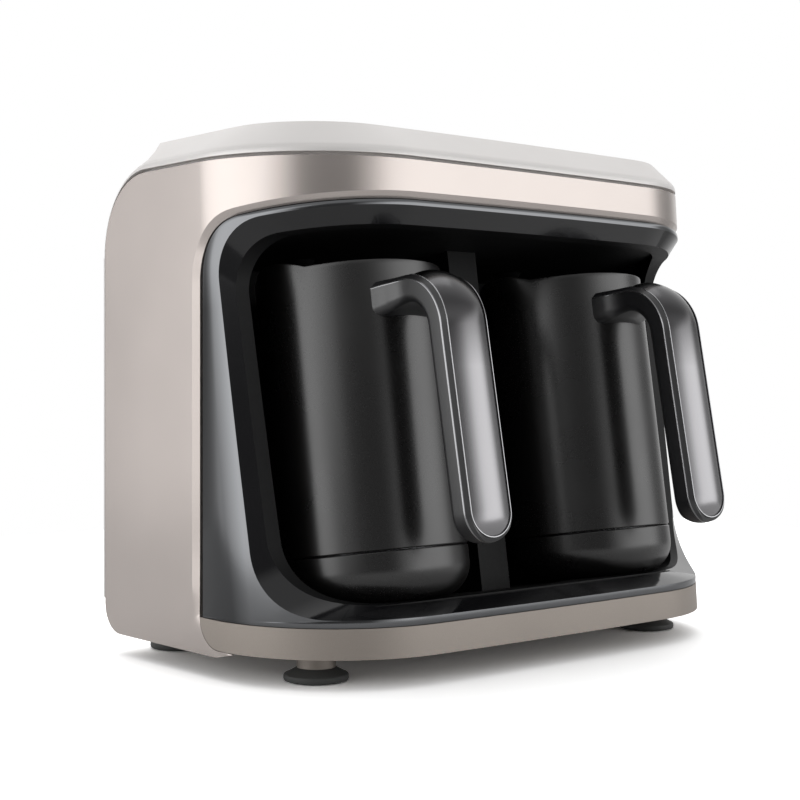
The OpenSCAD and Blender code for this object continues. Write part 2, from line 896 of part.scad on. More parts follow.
module wiring_harness() {
    front = power_board_y - terminal_d - wire_room;
    inlet = back_y - wall - gland_depth - cut;
    pitch = 2 * wire_r + wire_room / 2;
    color("#7a1f1f") body_place() {
        // mains wires from the gland to the terminal block
        for (i = [0 : 2]) {
            start = [gland_x + (i - 1) * pitch, inlet, gland_z];
            finish = [port_x(i), front, port_z];
            pull = [(start[0] + finish[0]) / 2, front - 2 * wire_room, (gland_z + port_z) / 2];
            wire(concat([for (t = [0 : 0.125 : 1]) bow(start, pull, finish, t)],
                        [finish + [0, wire_room + wire_in, 0]]), wire_r);
        }
        // signal wires up behind the niches to the control board
        for (i = [-1 : 1]) {
            x = i * pitch;
            start = [x, power_board_y - wire_r - wire_in, power_board_z + signal_lift];
            up = [x, power_board_y - wire_room, power_board_z + power_board_h];
            finish = [x, max(boss_y) + wire_room, board_z - wire_room];
            wire(concat([start], [for (t = [0 : 0.125 : 1])
                bow(up, [x, power_board_y - 3 * wire_room, board_z - 2 * wire_room], finish, t)],
                [[x, max(boss_y) + wire_in, board_z - wire_r - stem_play]]), wire_r);
        }
    }
}

module base_screws() {
    color("silver") body_place() base_screw_places() {
        translate([0, 0, strip_bottom - screw_head_h]) cylinder(r = screw_head_r, h = screw_head_h);
        translate([0, 0, strip_bottom]) cylinder(r = screw_r - eps, h = base_shank);
    }
}

module back_screws() {
    color("silver") body_place() for (z = [lower_screw_z, upper_screw_z]) back_screw_places(z) {
        translate([0, 0, -screw_head_h]) cylinder(r = screw_head_r, h = screw_head_h);
        cylinder(r = screw_r - eps, h = back_shank);
    }
}

module sensor_housings() {
    color(soft_black) sensor_places() difference() {
        union() {
            translate([0, 0, -bezel_h - bed_gap])
                cylinder(r1 = sensor_tube_r, r2 = sensor_tube_r + bezel_w, h = bezel_h);
            translate([0, 0, -bed_gap]) cylinder(r = sensor_tube_r - seam, h = sensor_tube_h);
        }
        translate([0, 0, -bezel_h - cut]) cylinder(r = sensor_r, h = bezel_h + cut + lens_seat);
        translate([0, 0, lens_seat - bed_gap]) cylinder(r = sensor_r - cut, h = sensor_tube_h);
    }
}

module sensor_lenses() {
    color("#b9c6d2") sensor_places() intersection() {
        translate([0, 0, lens_seat - lens_t]) cylinder(r = sensor_r - spring_gap, h = lens_t);
        translate([0, 0, lens_dome - lens_crown]) sphere(lens_dome, $fn = 120);
    }
}

module sensor_boards() {
    color("#1f5a38") sensor_places() translate([0, 0, sensor_tube_h]) difference() {
        translate([-sensor_board_w / 2, -sensor_tube_r, 0])
            cube([sensor_board_w, 2 * sensor_tube_r, board_t]);
        for (side = [left, right])
            translate([side * sensor_tube_r, 0, -cut]) cylinder(r = pin_r, h = 2 * cut + board_t);
    }
}

// coupler on the back of a niche, with three blades towards the pot
module coupler_housings() {
    reach = niche_r + liner_t - pot_r - coupler_gap;
    color(soft_black) for (side = [left, right]) pot_place(side) difference() {
        union() {
            translate([-coupler_w / 2, pot_r + coupler_gap, coupler_z])
                cube([coupler_w, reach - liner_t - coupler_z, coupler_h]);
            translate([-coupler_w / 2 + coupler_step + seam, pot_r + coupler_gap + coupler_lip,
                       coupler_z + coupler_lip + seam])
                cube([coupler_w - 2 * coupler_step - 2 * seam, reach + coupler_z,
                      coupler_h - 2 * coupler_lip - 2 * seam]);
        }
        for (i = [-1 : 1])
            translate([i * blade_pitch - blade_w / 2, pot_r, coupler_z + (coupler_h - blade_h) / 2])
                cube([blade_w, far / 4, blade_h]);
    }
}

module coupler_blades() {
    color("#c8a24a") for (side = [left, right]) pot_place(side) for (i = [-1 : 1])
        translate([i * blade_pitch - blade_w / 2 + eps, pot_r + coupler_gap - blade_reach,
                   coupler_z + (coupler_h - blade_h) / 2 + eps])
            cube([blade_w - 2 * eps, blade_reach + niche_r - pot_r + 10, blade_h - 2 * eps]);
}

module pot_socket(side) {
    w = coupler_w - 4;
    color(soft_black) pot_place(side) difference() {
        intersection() {
            translate([-w / 2, pot_r - socket_depth, coupler_z + socket_rim])
                cube([w, socket_depth, coupler_h - 2 * socket_rim]);
            cylinder(r = pot_r - seam, h = cup_h);
        }
        for (i = [-1 : 1])
            translate([i * blade_pitch - blade_w / 2 - blade_play,
                       pot_r - blade_reach - 1, coupler_z + (coupler_h - blade_h) / 2 - blade_play])
                cube([blade_w + 2 * blade_play, far / 4, blade_h + 2 * blade_play]);
    }
}

module base_cup(side) {
    w = coupler_w - 4 + 2 * seam;
    color(soft_black) pot_place(side) difference() {
        rotate_extrude() difference() {
            polygon(rounded([[0, 0], [pot_r, 0], [pot_r, cup_h - seam], [0, cup_h - seam]],
                            [0, cup_round, 0, 0]));
            polygon(rounded([[0, cup_t], [pot_r - cup_t, cup_t], [pot_r - cup_t, cup_h], [0, cup_h]],
                            [0, cup_round - cup_t, 0, 0]));
        }
        translate([-w / 2, 0, coupler_z + socket_rim - seam])
            cube([w, 2 * pot_r, coupler_h - 2 * socket_rim + 2 * seam]);
    }
}

module pot_body(side) {
    color("#222021") pot_place(side) difference() {
        union() {
            translate([0, 0, cup_h]) cylinder(r = pot_r, h = vessel_h);
            // pouring lip: the wall carried up under a rounded outline, on the left of the pot
            intersection() {
                translate([0, 0, pot_h - eps]) cylinder(r = pot_r, h = 2 * spout_rise);
                translate([0, 0, pot_h + spout_rise - spout_r]) rotate([0, -90, 0])
                    cylinder(r = spout_r, h = pot_r + cut, $fn = 180);
            }
        }
        translate([0, 0, cup_h + floor_t]) cylinder(r = pot_r - vessel_t, h = pot_h);
        translate([0, 0, cup_h - cut]) cylinder(r = pot_r - cup_t - seam, h = cut + seam);
    }
}

module heater_plate(side) {
    color("silver") pot_place(side) difference() {
        translate([0, 0, cup_h - plate_t]) cylinder(r = plate_r, h = plate_t + bed_gap);
        for (x = [-stud_x, stud_x])
            translate([x, stud_y, cup_h - plate_t - cut]) cylinder(r = screw_r, h = 3 * cut);
    }
}

// thermostat on the plate's underside, with two tabs
module thermostat(side) {
    color("#d8d2c4") pot_place(side) translate([0, 0, cup_h - plate_t - bed_gap - thermostat_h]) {
        cylinder(r = thermostat_r, h = thermostat_h);
        for (x = [-tab_x, tab_x])
            translate([x - tab_w / 2, -tab_t / 2, -tab_h]) cube([tab_w, tab_t, tab_h + seam]);
    }
}

// side outline of a handle, drawn with the pot to the right
function handle_outline(inset) =
    let (run = grip_run + end_r, s = sin(grip_lean), c = cos(grip_lean),
         out = [bend_y + bend_r - inset, bend_z],
         low_out = [bend_y + bend_r - inset + run * s, bend_z - run * c + inset],
         low_in = [grip_inner + inset + run * s, bend_z - run * c + inset],
         inn = [grip_inner + inset, bend_z],
         r = min(end_r - inset / 2, handle_t / 2 - inset - eps),
         n = 14)
    concat([[0, handle_top - inset]],
        [for (i = [0 : n]) [bend_y, bend_z] + (bend_r - inset) * [sin(90 * i / n), cos(90 * i / n)]],
        rounding(out, low_out, low_in, r),
        rounding(low_out, low_in, inn, r),
        [for (i = [n : -1 : 0]) [bend_y, bend_z]
            + (bend_r - handle_t + inset) * [sin(90 * i / n), cos(90 * i / n)]],
        [[0, handle_top - handle_t + inset]]);

// handle blank of a width, between the pot wall and the grip's end
module handle_blank(side, inset, width) {
    pot_place(side) rotate([0, 0, 180]) across(width) polygon(handle_outline(inset));
}

// front outline of the grip: a bar with a round lower end
module grip_front(side, width, low) {
    pot_place(side) translate([0, 0, low + width / 2]) rotate([90, 0, 0]) {
        cylinder(r = width / 2, h = far / 2);
        translate([-width / 2, 0, 0]) cube([width, far, far / 2]);
    }
}

// the skin of the handle's outer face, t thick and d below the surface
module outer_skin(side, d, t, width, low, start = 0) {
    intersection() {
        difference() {
            handle_blank(side, d, width + 2 * cut);
            pot_place(side) rotate([0, 0, 180]) across(width + 4 * cut)
                polygon(outer_line(d + t));
        }
        grip_front(side, width, low);
        pot_place(side) translate([-far, -far - bend_y - start, -far])
            cube([2 * far, far, 2 * far]);
    }
}

// everything inside the outer face moved in by d
function outer_line(d) =
    let (run = grip_run + 2 * end_r, s = sin(grip_lean), c = cos(grip_lean), n = 14)
    concat([[0, bend_z + bend_r - d]],
        [for (i = [0 : n]) [bend_y, bend_z] + (bend_r - d) * [sin(90 * i / n), cos(90 * i / n)]],
        [[bend_y + bend_r - d + run * s, bend_z - run * c], [0, bend_z - run * c]]);

module handle_core(side) {
    color(soft_black) difference() {
        intersection() {
            handle_blank(side, 0, handle_w + 2 * cut);
            grip_front(side, handle_w, handle_low + end_play);
        }
        outer_skin(side, -cut, inlay_t + cut, handle_w - 2 * inlay_rim, handle_low + inlay_rim);
        pot_place(side) cylinder(r = pot_r + seam, h = 2 * pot_h);
        // hollow behind the inlay
        difference() {
            handle_blank(side, inlay_t + core_wall, handle_w - 4 * inlay_rim);
            // web at the root that the screws' heads sit on
            pot_place(side) translate([-handle_w / 2, -pot_r - saddle_d - web_t, 0])
                cube([handle_w, web_t, far]);
        }
        handle_screw_places(side) cylinder(r = screw_r, h = root_screw, center = true);
    }
}

module handle_trim(side) {
    w = handle_w - 2 * inlay_rim - 2 * seam;
    low = handle_low + inlay_rim + seam;
    color("#8d8d90") difference() {
        outer_skin(side, trim_drop, inlay_t - trim_drop - bed_gap, w, low, seam);
        outer_skin(side, -cut, inlay_t + 3 * cut, w - 2 * trim_w, low + trim_w, seam + trim_w);
    }
}

module handle_inlay(side) {
    inset = inlay_rim + seam + trim_w + bed_gap;
    color("#4a4a4d") outer_skin(side, 0, inlay_t - bed_gap, handle_w - 2 * inset,
                                handle_low + inset, inset - inlay_rim);
}

module handle_screw_places(side) {
    pot_place(side) for (x = [-root_screw_x, root_screw_x])
        translate([x, -pot_r - root_screw / 2, handle_top - handle_t / 2]) rotate([90, 0, 0])
            children();
}

// steel saddle on the vessel that the handle's root is screwed to
module handle_bracket(side) {
    color("silver") difference() {
        pot_place(side) intersection() {
            translate([-saddle_w / 2, -pot_r - saddle_d, handle_top - handle_t / 2 - saddle_h / 2])
                cube([saddle_w, 2 * saddle_d, saddle_h]);
            cylinder(r = pot_r + saddle_d - seam, h = 2 * pot_h);
        }
        pot_place(side) cylinder(r = pot_r, h = 2 * pot_h);
        handle_screw_places(side) cylinder(r = screw_r, h = root_screw - eps, center = true);
    }
}

module handle_screws(side) {
    color("silver") handle_screw_places(side) {
        translate([0, 0, -root_shank / 2]) cylinder(r = screw_r - eps, h = root_shank);
        translate([0, 0, root_shank / 2]) cylinder(r = root_head_r, h = root_head_h);
    }
}

outer_shell();
top_cover();
back_cover();
base_tray();
front_frame();
niche_liner();
foot_stubs();
foot_pads();
control_bracket();
control_board();
tact_switches();
status_lights();
light_guides();
buzzer();
button(left);  // button_left
button(right);  // button_right
button_spring(left);  // button_spring_left
button_spring(right);  // button_spring_right
power_board();
relays();
transformer();
capacitor();
terminal_block();
wiring_harness();
cord_gland();
board_screws();
base_screws();
back_screws();
sensor_housings();
sensor_lenses();
sensor_boards();
coupler_housings();
coupler_blades();
pot_body(left);  // pot_body_left
pot_body(right);  // pot_body_right
base_cup(left);  // base_cup_left
base_cup(right);  // base_cup_right
heater_plate(left);  // heater_plate_left
heater_plate(right);  // heater_plate_right
thermostat(left);  // thermostat_left
thermostat(right);  // thermostat_right
pot_socket(left);  // pot_socket_left
pot_socket(right);  // pot_socket_right
handle_core(left);  // handle_core_left
handle_core(right);  // handle_core_right
handle_inlay(left);  // handle_inlay_left
handle_inlay(right);  // handle_inlay_right
handle_trim(left);  // handle_trim_left
handle_trim(right);  // handle_trim_right
handle_bracket(left);  // handle_bracket_left
handle_bracket(right);  // handle_bracket_right
handle_screws(left);  // handle_screws_left
handle_screws(right);  // handle_screws_right
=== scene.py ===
from math import acos, asin, cos, pi, radians, sin, sqrt, tan

import bmesh
import bpy
from mathutils import Matrix, Vector


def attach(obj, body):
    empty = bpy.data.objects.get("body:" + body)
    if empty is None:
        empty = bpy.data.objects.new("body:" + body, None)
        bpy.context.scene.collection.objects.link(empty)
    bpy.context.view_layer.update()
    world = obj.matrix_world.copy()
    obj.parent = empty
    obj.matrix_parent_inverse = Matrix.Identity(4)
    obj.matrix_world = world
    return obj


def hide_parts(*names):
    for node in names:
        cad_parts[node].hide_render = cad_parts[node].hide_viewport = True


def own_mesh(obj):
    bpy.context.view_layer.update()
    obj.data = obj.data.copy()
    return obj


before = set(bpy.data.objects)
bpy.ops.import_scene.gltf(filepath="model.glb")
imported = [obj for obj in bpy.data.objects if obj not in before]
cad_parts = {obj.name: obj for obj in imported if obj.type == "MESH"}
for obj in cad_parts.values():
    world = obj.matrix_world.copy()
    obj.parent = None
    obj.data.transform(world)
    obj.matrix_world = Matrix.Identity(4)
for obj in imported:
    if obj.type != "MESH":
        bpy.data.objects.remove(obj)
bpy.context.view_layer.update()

MM = 0.001
LEFT, RIGHT = -1, 1

# body, in millimetres: plan drawn square to the leaning front
ORIGIN_Y = 15.8818
HALF_W = 137.5
LEAN = radians(3.87)
BOW_R = 2500
CORNER_R = 66
CORNER_X = HALF_W - CORNER_R
CORNER_Y = -14.25
BACK_Y = 79.15
PANEL_BACK = 77.85
WALL = 2.5
BAND_TOP = 217
TOP_REF_Y = -68
RIM_SLOPE = tan(radians(9.3))
RETURN_W = 2.6
SEAT_LINE_Y = -0.6
WINDOW_TOP = 203.8
WINDOW_SIDE = 4.8
WINDOW_LOW = 12.2
WINDOW_R_HIGH = 30
WINDOW_R_LOW = 13
LIP_Z0 = 218.6
LIP_Z1 = 221.3
LIP_PIVOT_Y = 43.85
LIP_BACK_R = 34.25
COVER_TOP = 232.5
COVER_R = 40
COVER_PIVOT_Z = 181.3
PLATEAU_Y = 52.4
SHOULDER_R = 20
SHOULDER_Z = 201.3
BUTTON_X = 55
BUTTON_Y = -24
BUTTON_R = 13
LIGHT_GAP = 20

# pots and handles, in each pot's own frame
POT_X = 67.3
SEAT_Y = -34.7
SEAT_Z = 28.05
POT_LEAN = radians(8.64)
POT_R = 41.3
CUP_H = 22
RIM_Z = 143.9
BEND = Vector((0, -53, 109.4))
BEND_MID_R = 20
GRIP_T = 14
GRIP_W = 25
GRIP_LEAN = radians(2)
GRIP_LOW = 20.7

BOW_TURN = asin(CORNER_X / (BOW_R - CORNER_R))
BOW_Y = CORNER_Y + sqrt((BOW_R - CORNER_R) ** 2 - CORNER_X ** 2)

SCALE = Matrix.Scale(MM, 4)
BODY = SCALE @ Matrix.Translation((0, ORIGIN_Y, 0))


def word(side):
    return "left" if side < 0 else "right"


def quarter(steps):
    """Angles over a quarter turn."""
    return [pi / 2 * i / steps for i in range(steps + 1)]


def pot_frame(side):
    return (BODY @ Matrix.Translation((side * POT_X, SEAT_Y, SEAT_Z))
            @ Matrix.Rotation(-POT_LEAN, 4, "X"))


# ---------------------------------------------------------------- finishes

class Value:
    """A shader value that can be added, multiplied and compared."""

    def __init__(self, finish, socket):
        self.finish = finish
        self.socket = socket

    def maths(self, operation, a, b):
        return self.finish.maths(operation, a, b)

    def __add__(self, other):
        return self.maths("ADD", self, other)

    def __sub__(self, other):
        return self.maths("SUBTRACT", self, other)

    def __rsub__(self, other):
        return self.maths("SUBTRACT", other, self)

    def __mul__(self, other):
        return self.maths("MULTIPLY", self, other)

    def __truediv__(self, other):
        return self.maths("DIVIDE", self, other)

    def __gt__(self, other):
        return self.maths("GREATER_THAN", self, other)

    __radd__ = __add__
    __rmul__ = __mul__


class Finish:
    """A node tree under construction, for a material or the world."""

    def __init__(self, name, owner=None):
        self.owner = owner or bpy.data.materials.new(name)
        self.owner.use_nodes = True
        self.tree = self.owner.node_tree
        self.tree.nodes.clear()
        self.made = 0

    def node(self, kind, settings=None, sockets=None, out=0):
        made = self.tree.nodes.new(kind)
        made.location = (self.made * 180, -(self.made % 3) * 220)
        self.made += 1
        for key, setting in (settings or {}).items():
            if key == "stops":
                self.stops(made, setting)
            else:
                setattr(made, key, setting)
        for key, given in (sockets or {}).items():
            self.feed(made.inputs[key], given)
        return Value(self, made.outputs[out]) if len(made.outputs) else made

    def stops(self, ramp, stops):
        elements = ramp.color_ramp.elements
        for i, (place, level) in enumerate(stops):
            element = elements[i] if i < 2 else elements.new(place)
            element.position = place
            element.color = (level, level, level, 1)

    def feed(self, socket, given):
        if isinstance(given, Value):
            self.tree.links.new(given.socket, socket)
        elif isinstance(given, tuple) and len(given) == 3 and len(socket.default_value) == 4:
            socket.default_value = (*given, 1)
        else:
            socket.default_value = given

    def maths(self, operation, a, b):
        return self.node("ShaderNodeMath", {"operation": operation}, {0: a, 1: b})

    def split(self, vector):
        """The x, y and z of a vector."""
        parts = self.node("ShaderNodeSeparateXYZ", {}, {0: vector}).socket.node
        return [Value(self, socket) for socket in parts.outputs]

    def spot(self):
        """Object coordinates."""
        return self.node("ShaderNodeTexCoord", out=3)

    def grain(self, scale, detail, stretch=(1, 1, 1)):
        """Noise from 0 to 1, with scale in cycles per metre."""
        spot = self.node("ShaderNodeMapping", {}, {"Vector": self.spot(), "Scale": stretch})
        return self.node("ShaderNodeTexNoise", {"noise_dimensions": "3D"},
                         {"Vector": spot, "Scale": scale, "Detail": detail, "Roughness": 0.5})

    def between(self, mask, a, b):
        """A colour from a to b as mask goes from 0 to 1."""
        return self.node("ShaderNodeMix", {"data_type": "RGBA"}, {0: mask, 6: a, 7: b}, out=2)

    def clamp(self, value, low, high):
        return self.node("ShaderNodeMapRange", {"clamp": True},
                         {0: value, 1: low, 2: high, 3: 0.0, 4: 1.0})

    def bump(self, height, distance, strength):
        return self.node("ShaderNodeBump", {}, {"Height": height, "Distance": distance,
                                                "Strength": strength})

    def surface(self, **sockets):
        names = {key.replace("_", " "): given for key, given in sockets.items()}
        shader = self.node("ShaderNodeBsdfPrincipled", {}, names)
        self.node("ShaderNodeOutputMaterial", {}, {"Surface": shader})
        return self.owner


def srgb(r, g, b):
    """A colour written as 8-bit display values."""
    return tuple((c / 255 / 12.92) if c <= 10 else ((c / 255 + 0.055) / 1.055) ** 2.4
                 for c in (r, g, b))


def flaked(f, brushed):
    """Slow clouding and fine flake, and the mottle that they make together."""
    cloud = f.grain(14, 3)
    fleck = f.grain(2600, 2, brushed)
    return cloud, fleck, cloud * 0.6 + fleck * 0.4


def metal_surface(f, colour, rough, metal, cloud, fleck):
    """A metallic surface with slightly uneven gloss and a trace of raised flake."""
    return f.surface(Base_Color=colour, Metallic=metal, Roughness=rough + (cloud - 0.5) * 0.06,
                     Normal=f.bump(fleck, 0.00001, 0.35))


def satin_metal(name, tone, rough, metal, flake, brushed=(1, 1, 1)):
    """Metallic paint or metal, lighter and darker by its flake."""
    f = Finish(name)
    cloud, fleck, mottle = flaked(f, brushed)
    low = tuple(c * (1 - flake) for c in tone)
    high = tuple(min(1, c * (1 + flake * 0.5)) for c in tone)
    colour = f.between(f.clamp(mottle, 0.3, 0.7), low, high)
    return metal_surface(f, colour, rough, metal, cloud, fleck)


def metal_with_painted_shade(name, tone, rough, deep, where, brushed=(1, 1, 1)):
    """Satin metal with painted shade: its tone darkens to the share deep where the given mask is 1.
    """
    f = Finish(name)
    cloud, fleck, mottle = flaked(f, brushed)
    _, y, z = f.split(f.spot())
    # painted shade: the mask darkens the tone towards the share deep; the mottle adds the metal's
    # own uneven tone
    shade = where(f, y, z) * 0.94 + mottle * 0.12 - 0.03
    colour = f.between(f.clamp(shade, 0, 1), tone, tuple(c * deep for c in tone))
    return metal_surface(f, colour, rough, 1.0, cloud, fleck)


def painted_shade_away_from_rim(f, y, z):
    """Mask of painted shade on the surround's flank: 0 at the opening's rim, 1 from 9 mm behind it.
    """
    return f.clamp(y + (0.15 - z) * 0.138, -0.001, 0.0085) * f.clamp(z * -1.0, -0.175, -0.155)


def painted_shade_up_the_bend(f, y, z):
    """Mask of painted shade on the handle's face: 0 down the grip, 1 on the bend."""
    return f.clamp(z + y * 0.08, 0.124, 0.15)


def moulded(name, tone, rough, grain=900, depth=0.00003, mottle=0.06, spec=0.5):
    """Moulded plastic: eroded grain, faint mottling and small changes of gloss."""
    f = Finish(name)
    pebble = f.grain(grain, 2)
    cloud = f.grain(25, 4)
    low = tuple(c * (1 - mottle) for c in tone)
    high = tuple(min(1, c * (1 + mottle)) for c in tone)
    return f.surface(Base_Color=f.between(f.clamp(cloud, 0.3, 0.7), low, high),
                     Roughness=rough + (pebble - 0.5) * 0.12 + (cloud - 0.5) * 0.08,
                     Specular_IOR_Level=spec, Normal=f.bump(pebble, depth, 0.5))


def lacquer(name, tone, rough, coat=0.0, spec=0.5, ripple=0.000006):
    """Smooth gloss surface with a trace of orange peel and handling haze."""
    f = Finish(name)
    peel = f.grain(160, 2)
    haze = f.grain(30, 4)
    dust = f.grain(1500, 1)
    low = tuple(c * 0.92 for c in tone)
    high = tuple(min(1, c * 1.08) for c in tone)
    return f.surface(Base_Color=f.between(f.clamp(haze, 0.3, 0.7), low, high),
                     Roughness=rough + f.clamp(haze, 0.45, 0.8) * 0.05 + (dust > 0.68) * 0.03,
                     Specular_IOR_Level=spec, Coat_Weight=coat, Coat_Roughness=0.06,
                     Normal=f.bump(peel, ripple, 0.4))


FINISHES = {
    "champagne_paint": satin_metal("champagne_paint", srgb(200, 191, 186), 0.24, 0.76, 0.08),
    # painted shade: the champagne paint in a darker tone, rougher and less metallic, for the base
    # strip and foot stubs
    "shaded_champagne_paint": satin_metal("shaded_champagne_paint", srgb(165, 156, 148), 0.42, 0.45, 0.1),
    "cover_grey": moulded("cover_grey", srgb(221, 218, 216), 0.55, 1200, 0.000012, 0.025, 0.25),
    "cover_lip": satin_metal("cover_lip", srgb(226, 223, 221), 0.36, 0.28, 0.04),
    "frame_black": lacquer("frame_black", srgb(20, 20, 22), 0.12, 0.2),
    # frame flank: the surround's gloss black plastic given a light metal tone as painted sheen,
    # with painted shade darkening it away from the rim
    "frame_painted_sheen": metal_with_painted_shade("frame_painted_sheen", srgb(118, 119, 121), 0.14, 0.42, painted_shade_away_from_rim),
    "liner_black": moulded("liner_black", srgb(12, 12, 13), 0.55, 700, 0.00002, 0.2, 0.25),
    "soft_black": moulded("soft_black", srgb(27, 27, 29), 0.34, 1100, 0.00002, 0.12, 1.0),
    # handle inlay: graphite metal, with painted shade darkening it on the bend
    "inlay_graphite": metal_with_painted_shade("inlay_graphite", srgb(154, 153, 155), 0.22, 0.22, painted_shade_up_the_bend,
                                     (6, 6, 0.15)),
    # painted highlight: a light metal tone on the bevel corners of the black handle core, standing
    # in for the bright line along its edge
    "edge_painted_highlight": satin_metal("edge_painted_highlight", srgb(150, 150, 152), 0.18, 0.9, 0.05),
    "trim_metal": satin_metal("trim_metal", srgb(168, 168, 170), 0.22, 1.0, 0.08),
    "vessel_coat": lacquer("vessel_coat", srgb(14, 13, 13), 0.27, 0.0, 1.0),
    "foot_rubber": moulded("foot_rubber", srgb(76, 77, 76), 0.6, 1600, 0.00003, 0.12, 0.4),
    "steel": satin_metal("steel", srgb(186, 186, 188), 0.3, 1.0, 0.1, (1, 1, 12)),
    "aluminium": satin_metal("aluminium", srgb(200, 201, 204), 0.38, 1.0, 0.12),
    "brass": satin_metal("brass", srgb(205, 170, 96), 0.28, 1.0, 0.12),
    "board_green": lacquer("board_green", srgb(28, 92, 52), 0.35, 0.2),
    "part_plastic": moulded("part_plastic", srgb(46, 58, 84), 0.45, 1000),
    "ceramic_white": moulded("ceramic_white", srgb(222, 216, 202), 0.35, 800, 0.00002, 0.03),
    "lens": lacquer("lens", srgb(60, 20, 26), 0.08, 0.6),
    "wire_red": moulded("wire_red", srgb(150, 32, 28), 0.45, 900),
}


# ---------------------------------------------------------------- making pieces

def settle(bm, kind, settings):
    """Applies a modifier to a mesh under construction."""
    mesh = bpy.data.meshes.new("bench")
    bm.to_mesh(mesh)
    for finish in list(FINISHES.values())[:1 + max(f.material_index for f in bm.faces)]:
        mesh.materials.append(finish)
    bench = bpy.data.objects.new("bench", mesh)
    bpy.context.collection.objects.link(bench)
    step = bench.modifiers.new(kind, kind)
    for key, setting in settings.items():
        setattr(step, key, setting)
    graph = bpy.context.evaluated_depsgraph_get()
    done = bpy.data.meshes.new_from_object(bench.evaluated_get(graph))
    bm.clear()
    bm.from_mesh(done)
    bpy.data.objects.remove(bench)
    bpy.data.meshes.remove(mesh)
    bpy.data.meshes.remove(done)


def carve(bm, tool):
    """Cuts tool out of bm and throws tool away."""
    mesh = bpy.data.meshes.new("tool")
    bmesh.ops.recalc_face_normals(tool, faces=tool.faces)
    tool.to_mesh(mesh)
    tool.free()
    blade = bpy.data.objects.new("tool", mesh)
    bpy.context.collection.objects.link(blade)
    bmesh.ops.recalc_face_normals(bm, faces=bm.faces)
    settle(bm, "BOOLEAN", {"operation": "DIFFERENCE", "object": blade, "solver": "EXACT"})
    bpy.data.objects.remove(blade)
    bpy.data.meshes.remove(mesh)


def make(bm, name, finish, body, nodes, place=BODY, edge=0.0, segments=3, angle=32, more=()):
    """Finishes a mesh drawn in millimetres as a piece on a body, in place of CAD nodes."""
    bmesh.ops.transform(bm, matrix=place, verts=bm.verts)
    bmesh.ops.recalc_face_normals(bm, faces=bm.faces)
    for face in bm.faces:
        face.smooth = True
    for line in bm.edges:
        line.smooth = bool(edge) or line.calc_face_angle(0) < radians(angle)
    mesh = bpy.data.meshes.new(name)
    bm.to_mesh(mesh)
    bm.free()
    mesh.materials.append(FINISHES[finish])
    for other in more:
        mesh.materials.append(FINISHES[other])
    piece = bpy.data.objects.new(name, mesh)
    bpy.context.collection.objects.link(piece)
    if edge:
        step = piece.modifiers.new("edges", "BEVEL")
        step.width = edge * MM
        step.segments = segments
        step.limit_method = "ANGLE"
        step.angle_limit = radians(angle)
        step.use_clamp_overlap = True
    step = piece.modifiers.new("shading", "WEIGHTED_NORMAL")
    step.weight = 60
    step.keep_sharp = True
    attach(piece, body)
    if nodes:
        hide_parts(*nodes)
    return piece


def skin(rows, ends=True, tones=None):
    """A mesh through rows of points of one length; tones gives rows of faces another finish."""
    bm = bmesh.new()
    bmesh.ops.create_grid(bm, x_segments=len(rows[0]) - 1, y_segments=len(rows) - 1, size=1)
    net = sorted(bm.verts, key=lambda v: (round(v.co.y, 5), round(v.co.x, 5)))
    count = len(rows[0])
    rank = {vert: i // count for i, vert in enumerate(net)}
    for face in bm.faces:
        face.material_index = (tones or {}).get(min(rank[v] for v in face.verts), 0)
    for vert, spot in zip(net, (spot for row in rows for spot in row)):
        vert.co = spot
    bmesh.ops.remove_doubles(bm, verts=bm.verts, dist=0.002)
    bmesh.ops.dissolve_degenerate(bm, edges=bm.edges, dist=0.001)
    if ends:
        bmesh.ops.holes_fill(bm, edges=bm.edges, sides=0)
    return bm


def turned(profile, steps=96):
    """A profile of (radius, height) points spun round Z."""
    bm = bmesh.new()
    line = [bm.verts.new((r, 0, z)) for r, z in profile]
    edges = [bm.edges.new(pair) for pair in zip(line, line[1:])]
    bmesh.ops.spin(bm, geom=line + edges, cent=(0, 0, 0), axis=(0, 0, 1), dvec=(0, 0, 0),
                   angle=2 * pi, steps=steps, use_merge=True)
    bmesh.ops.remove_doubles(bm, verts=bm.verts, dist=0.001)
    return bm


def block(low, high):
    """A box between two corners, as a blade for carving."""
    bm = bmesh.new()
    size = Vector(high) - Vector(low)
    middle = (Vector(high) + Vector(low)) / 2
    bmesh.ops.create_cube(bm, size=1,
                          matrix=Matrix.Translation(middle) @ Matrix.Diagonal((*size, 1)))
    return bm


def round_corner(before, corner, after, r, steps):
    """Points of a rounding of radius r at a corner of a flat line."""
    u = (before - corner).normalized()
    v = (after - corner).normalized()
    half = u.angle(v) / 2
    centre = corner + (u + v).normalized() * r / sin(half)
    a = corner + u * r / tan(half) - centre
    b = corner + v * r / tan(half) - centre
    turn = pi - 2 * half
    return [centre + (a * sin((1 - i / steps) * turn) + b * sin(i / steps * turn)) / sin(turn)
            for i in range(steps + 1)]


def spread(start, end, count):
    """Points strictly between two others."""
    return [start.lerp(end, i / (count + 1)) for i in range(1, count + 1)]


# ---------------------------------------------------------------- the leaning body's surface

def plan(turn, inset):
    """Point of the plan where the outline has turned by that angle, on the left half."""
    if turn <= BOW_TURN:
        return -(BOW_R - inset) * sin(turn), BOW_Y - (BOW_R - inset) * cos(turn)
    return (-CORNER_X - (CORNER_R - inset) * sin(turn),
            CORNER_Y - (CORNER_R - inset) * cos(turn))


def on_front(turn, z, inset):
    x, y = plan(turn, inset)
    return Vector((x, (y + z * sin(LEAN)) / cos(LEAN), z))


def turn_at(y, z, inset):
    """How far the outline has turned at a height and depth seen from the side."""
    flat = y * cos(LEAN) - z * sin(LEAN)
    return acos(max(0, min(1, (CORNER_Y - flat) / (CORNER_R - inset))))


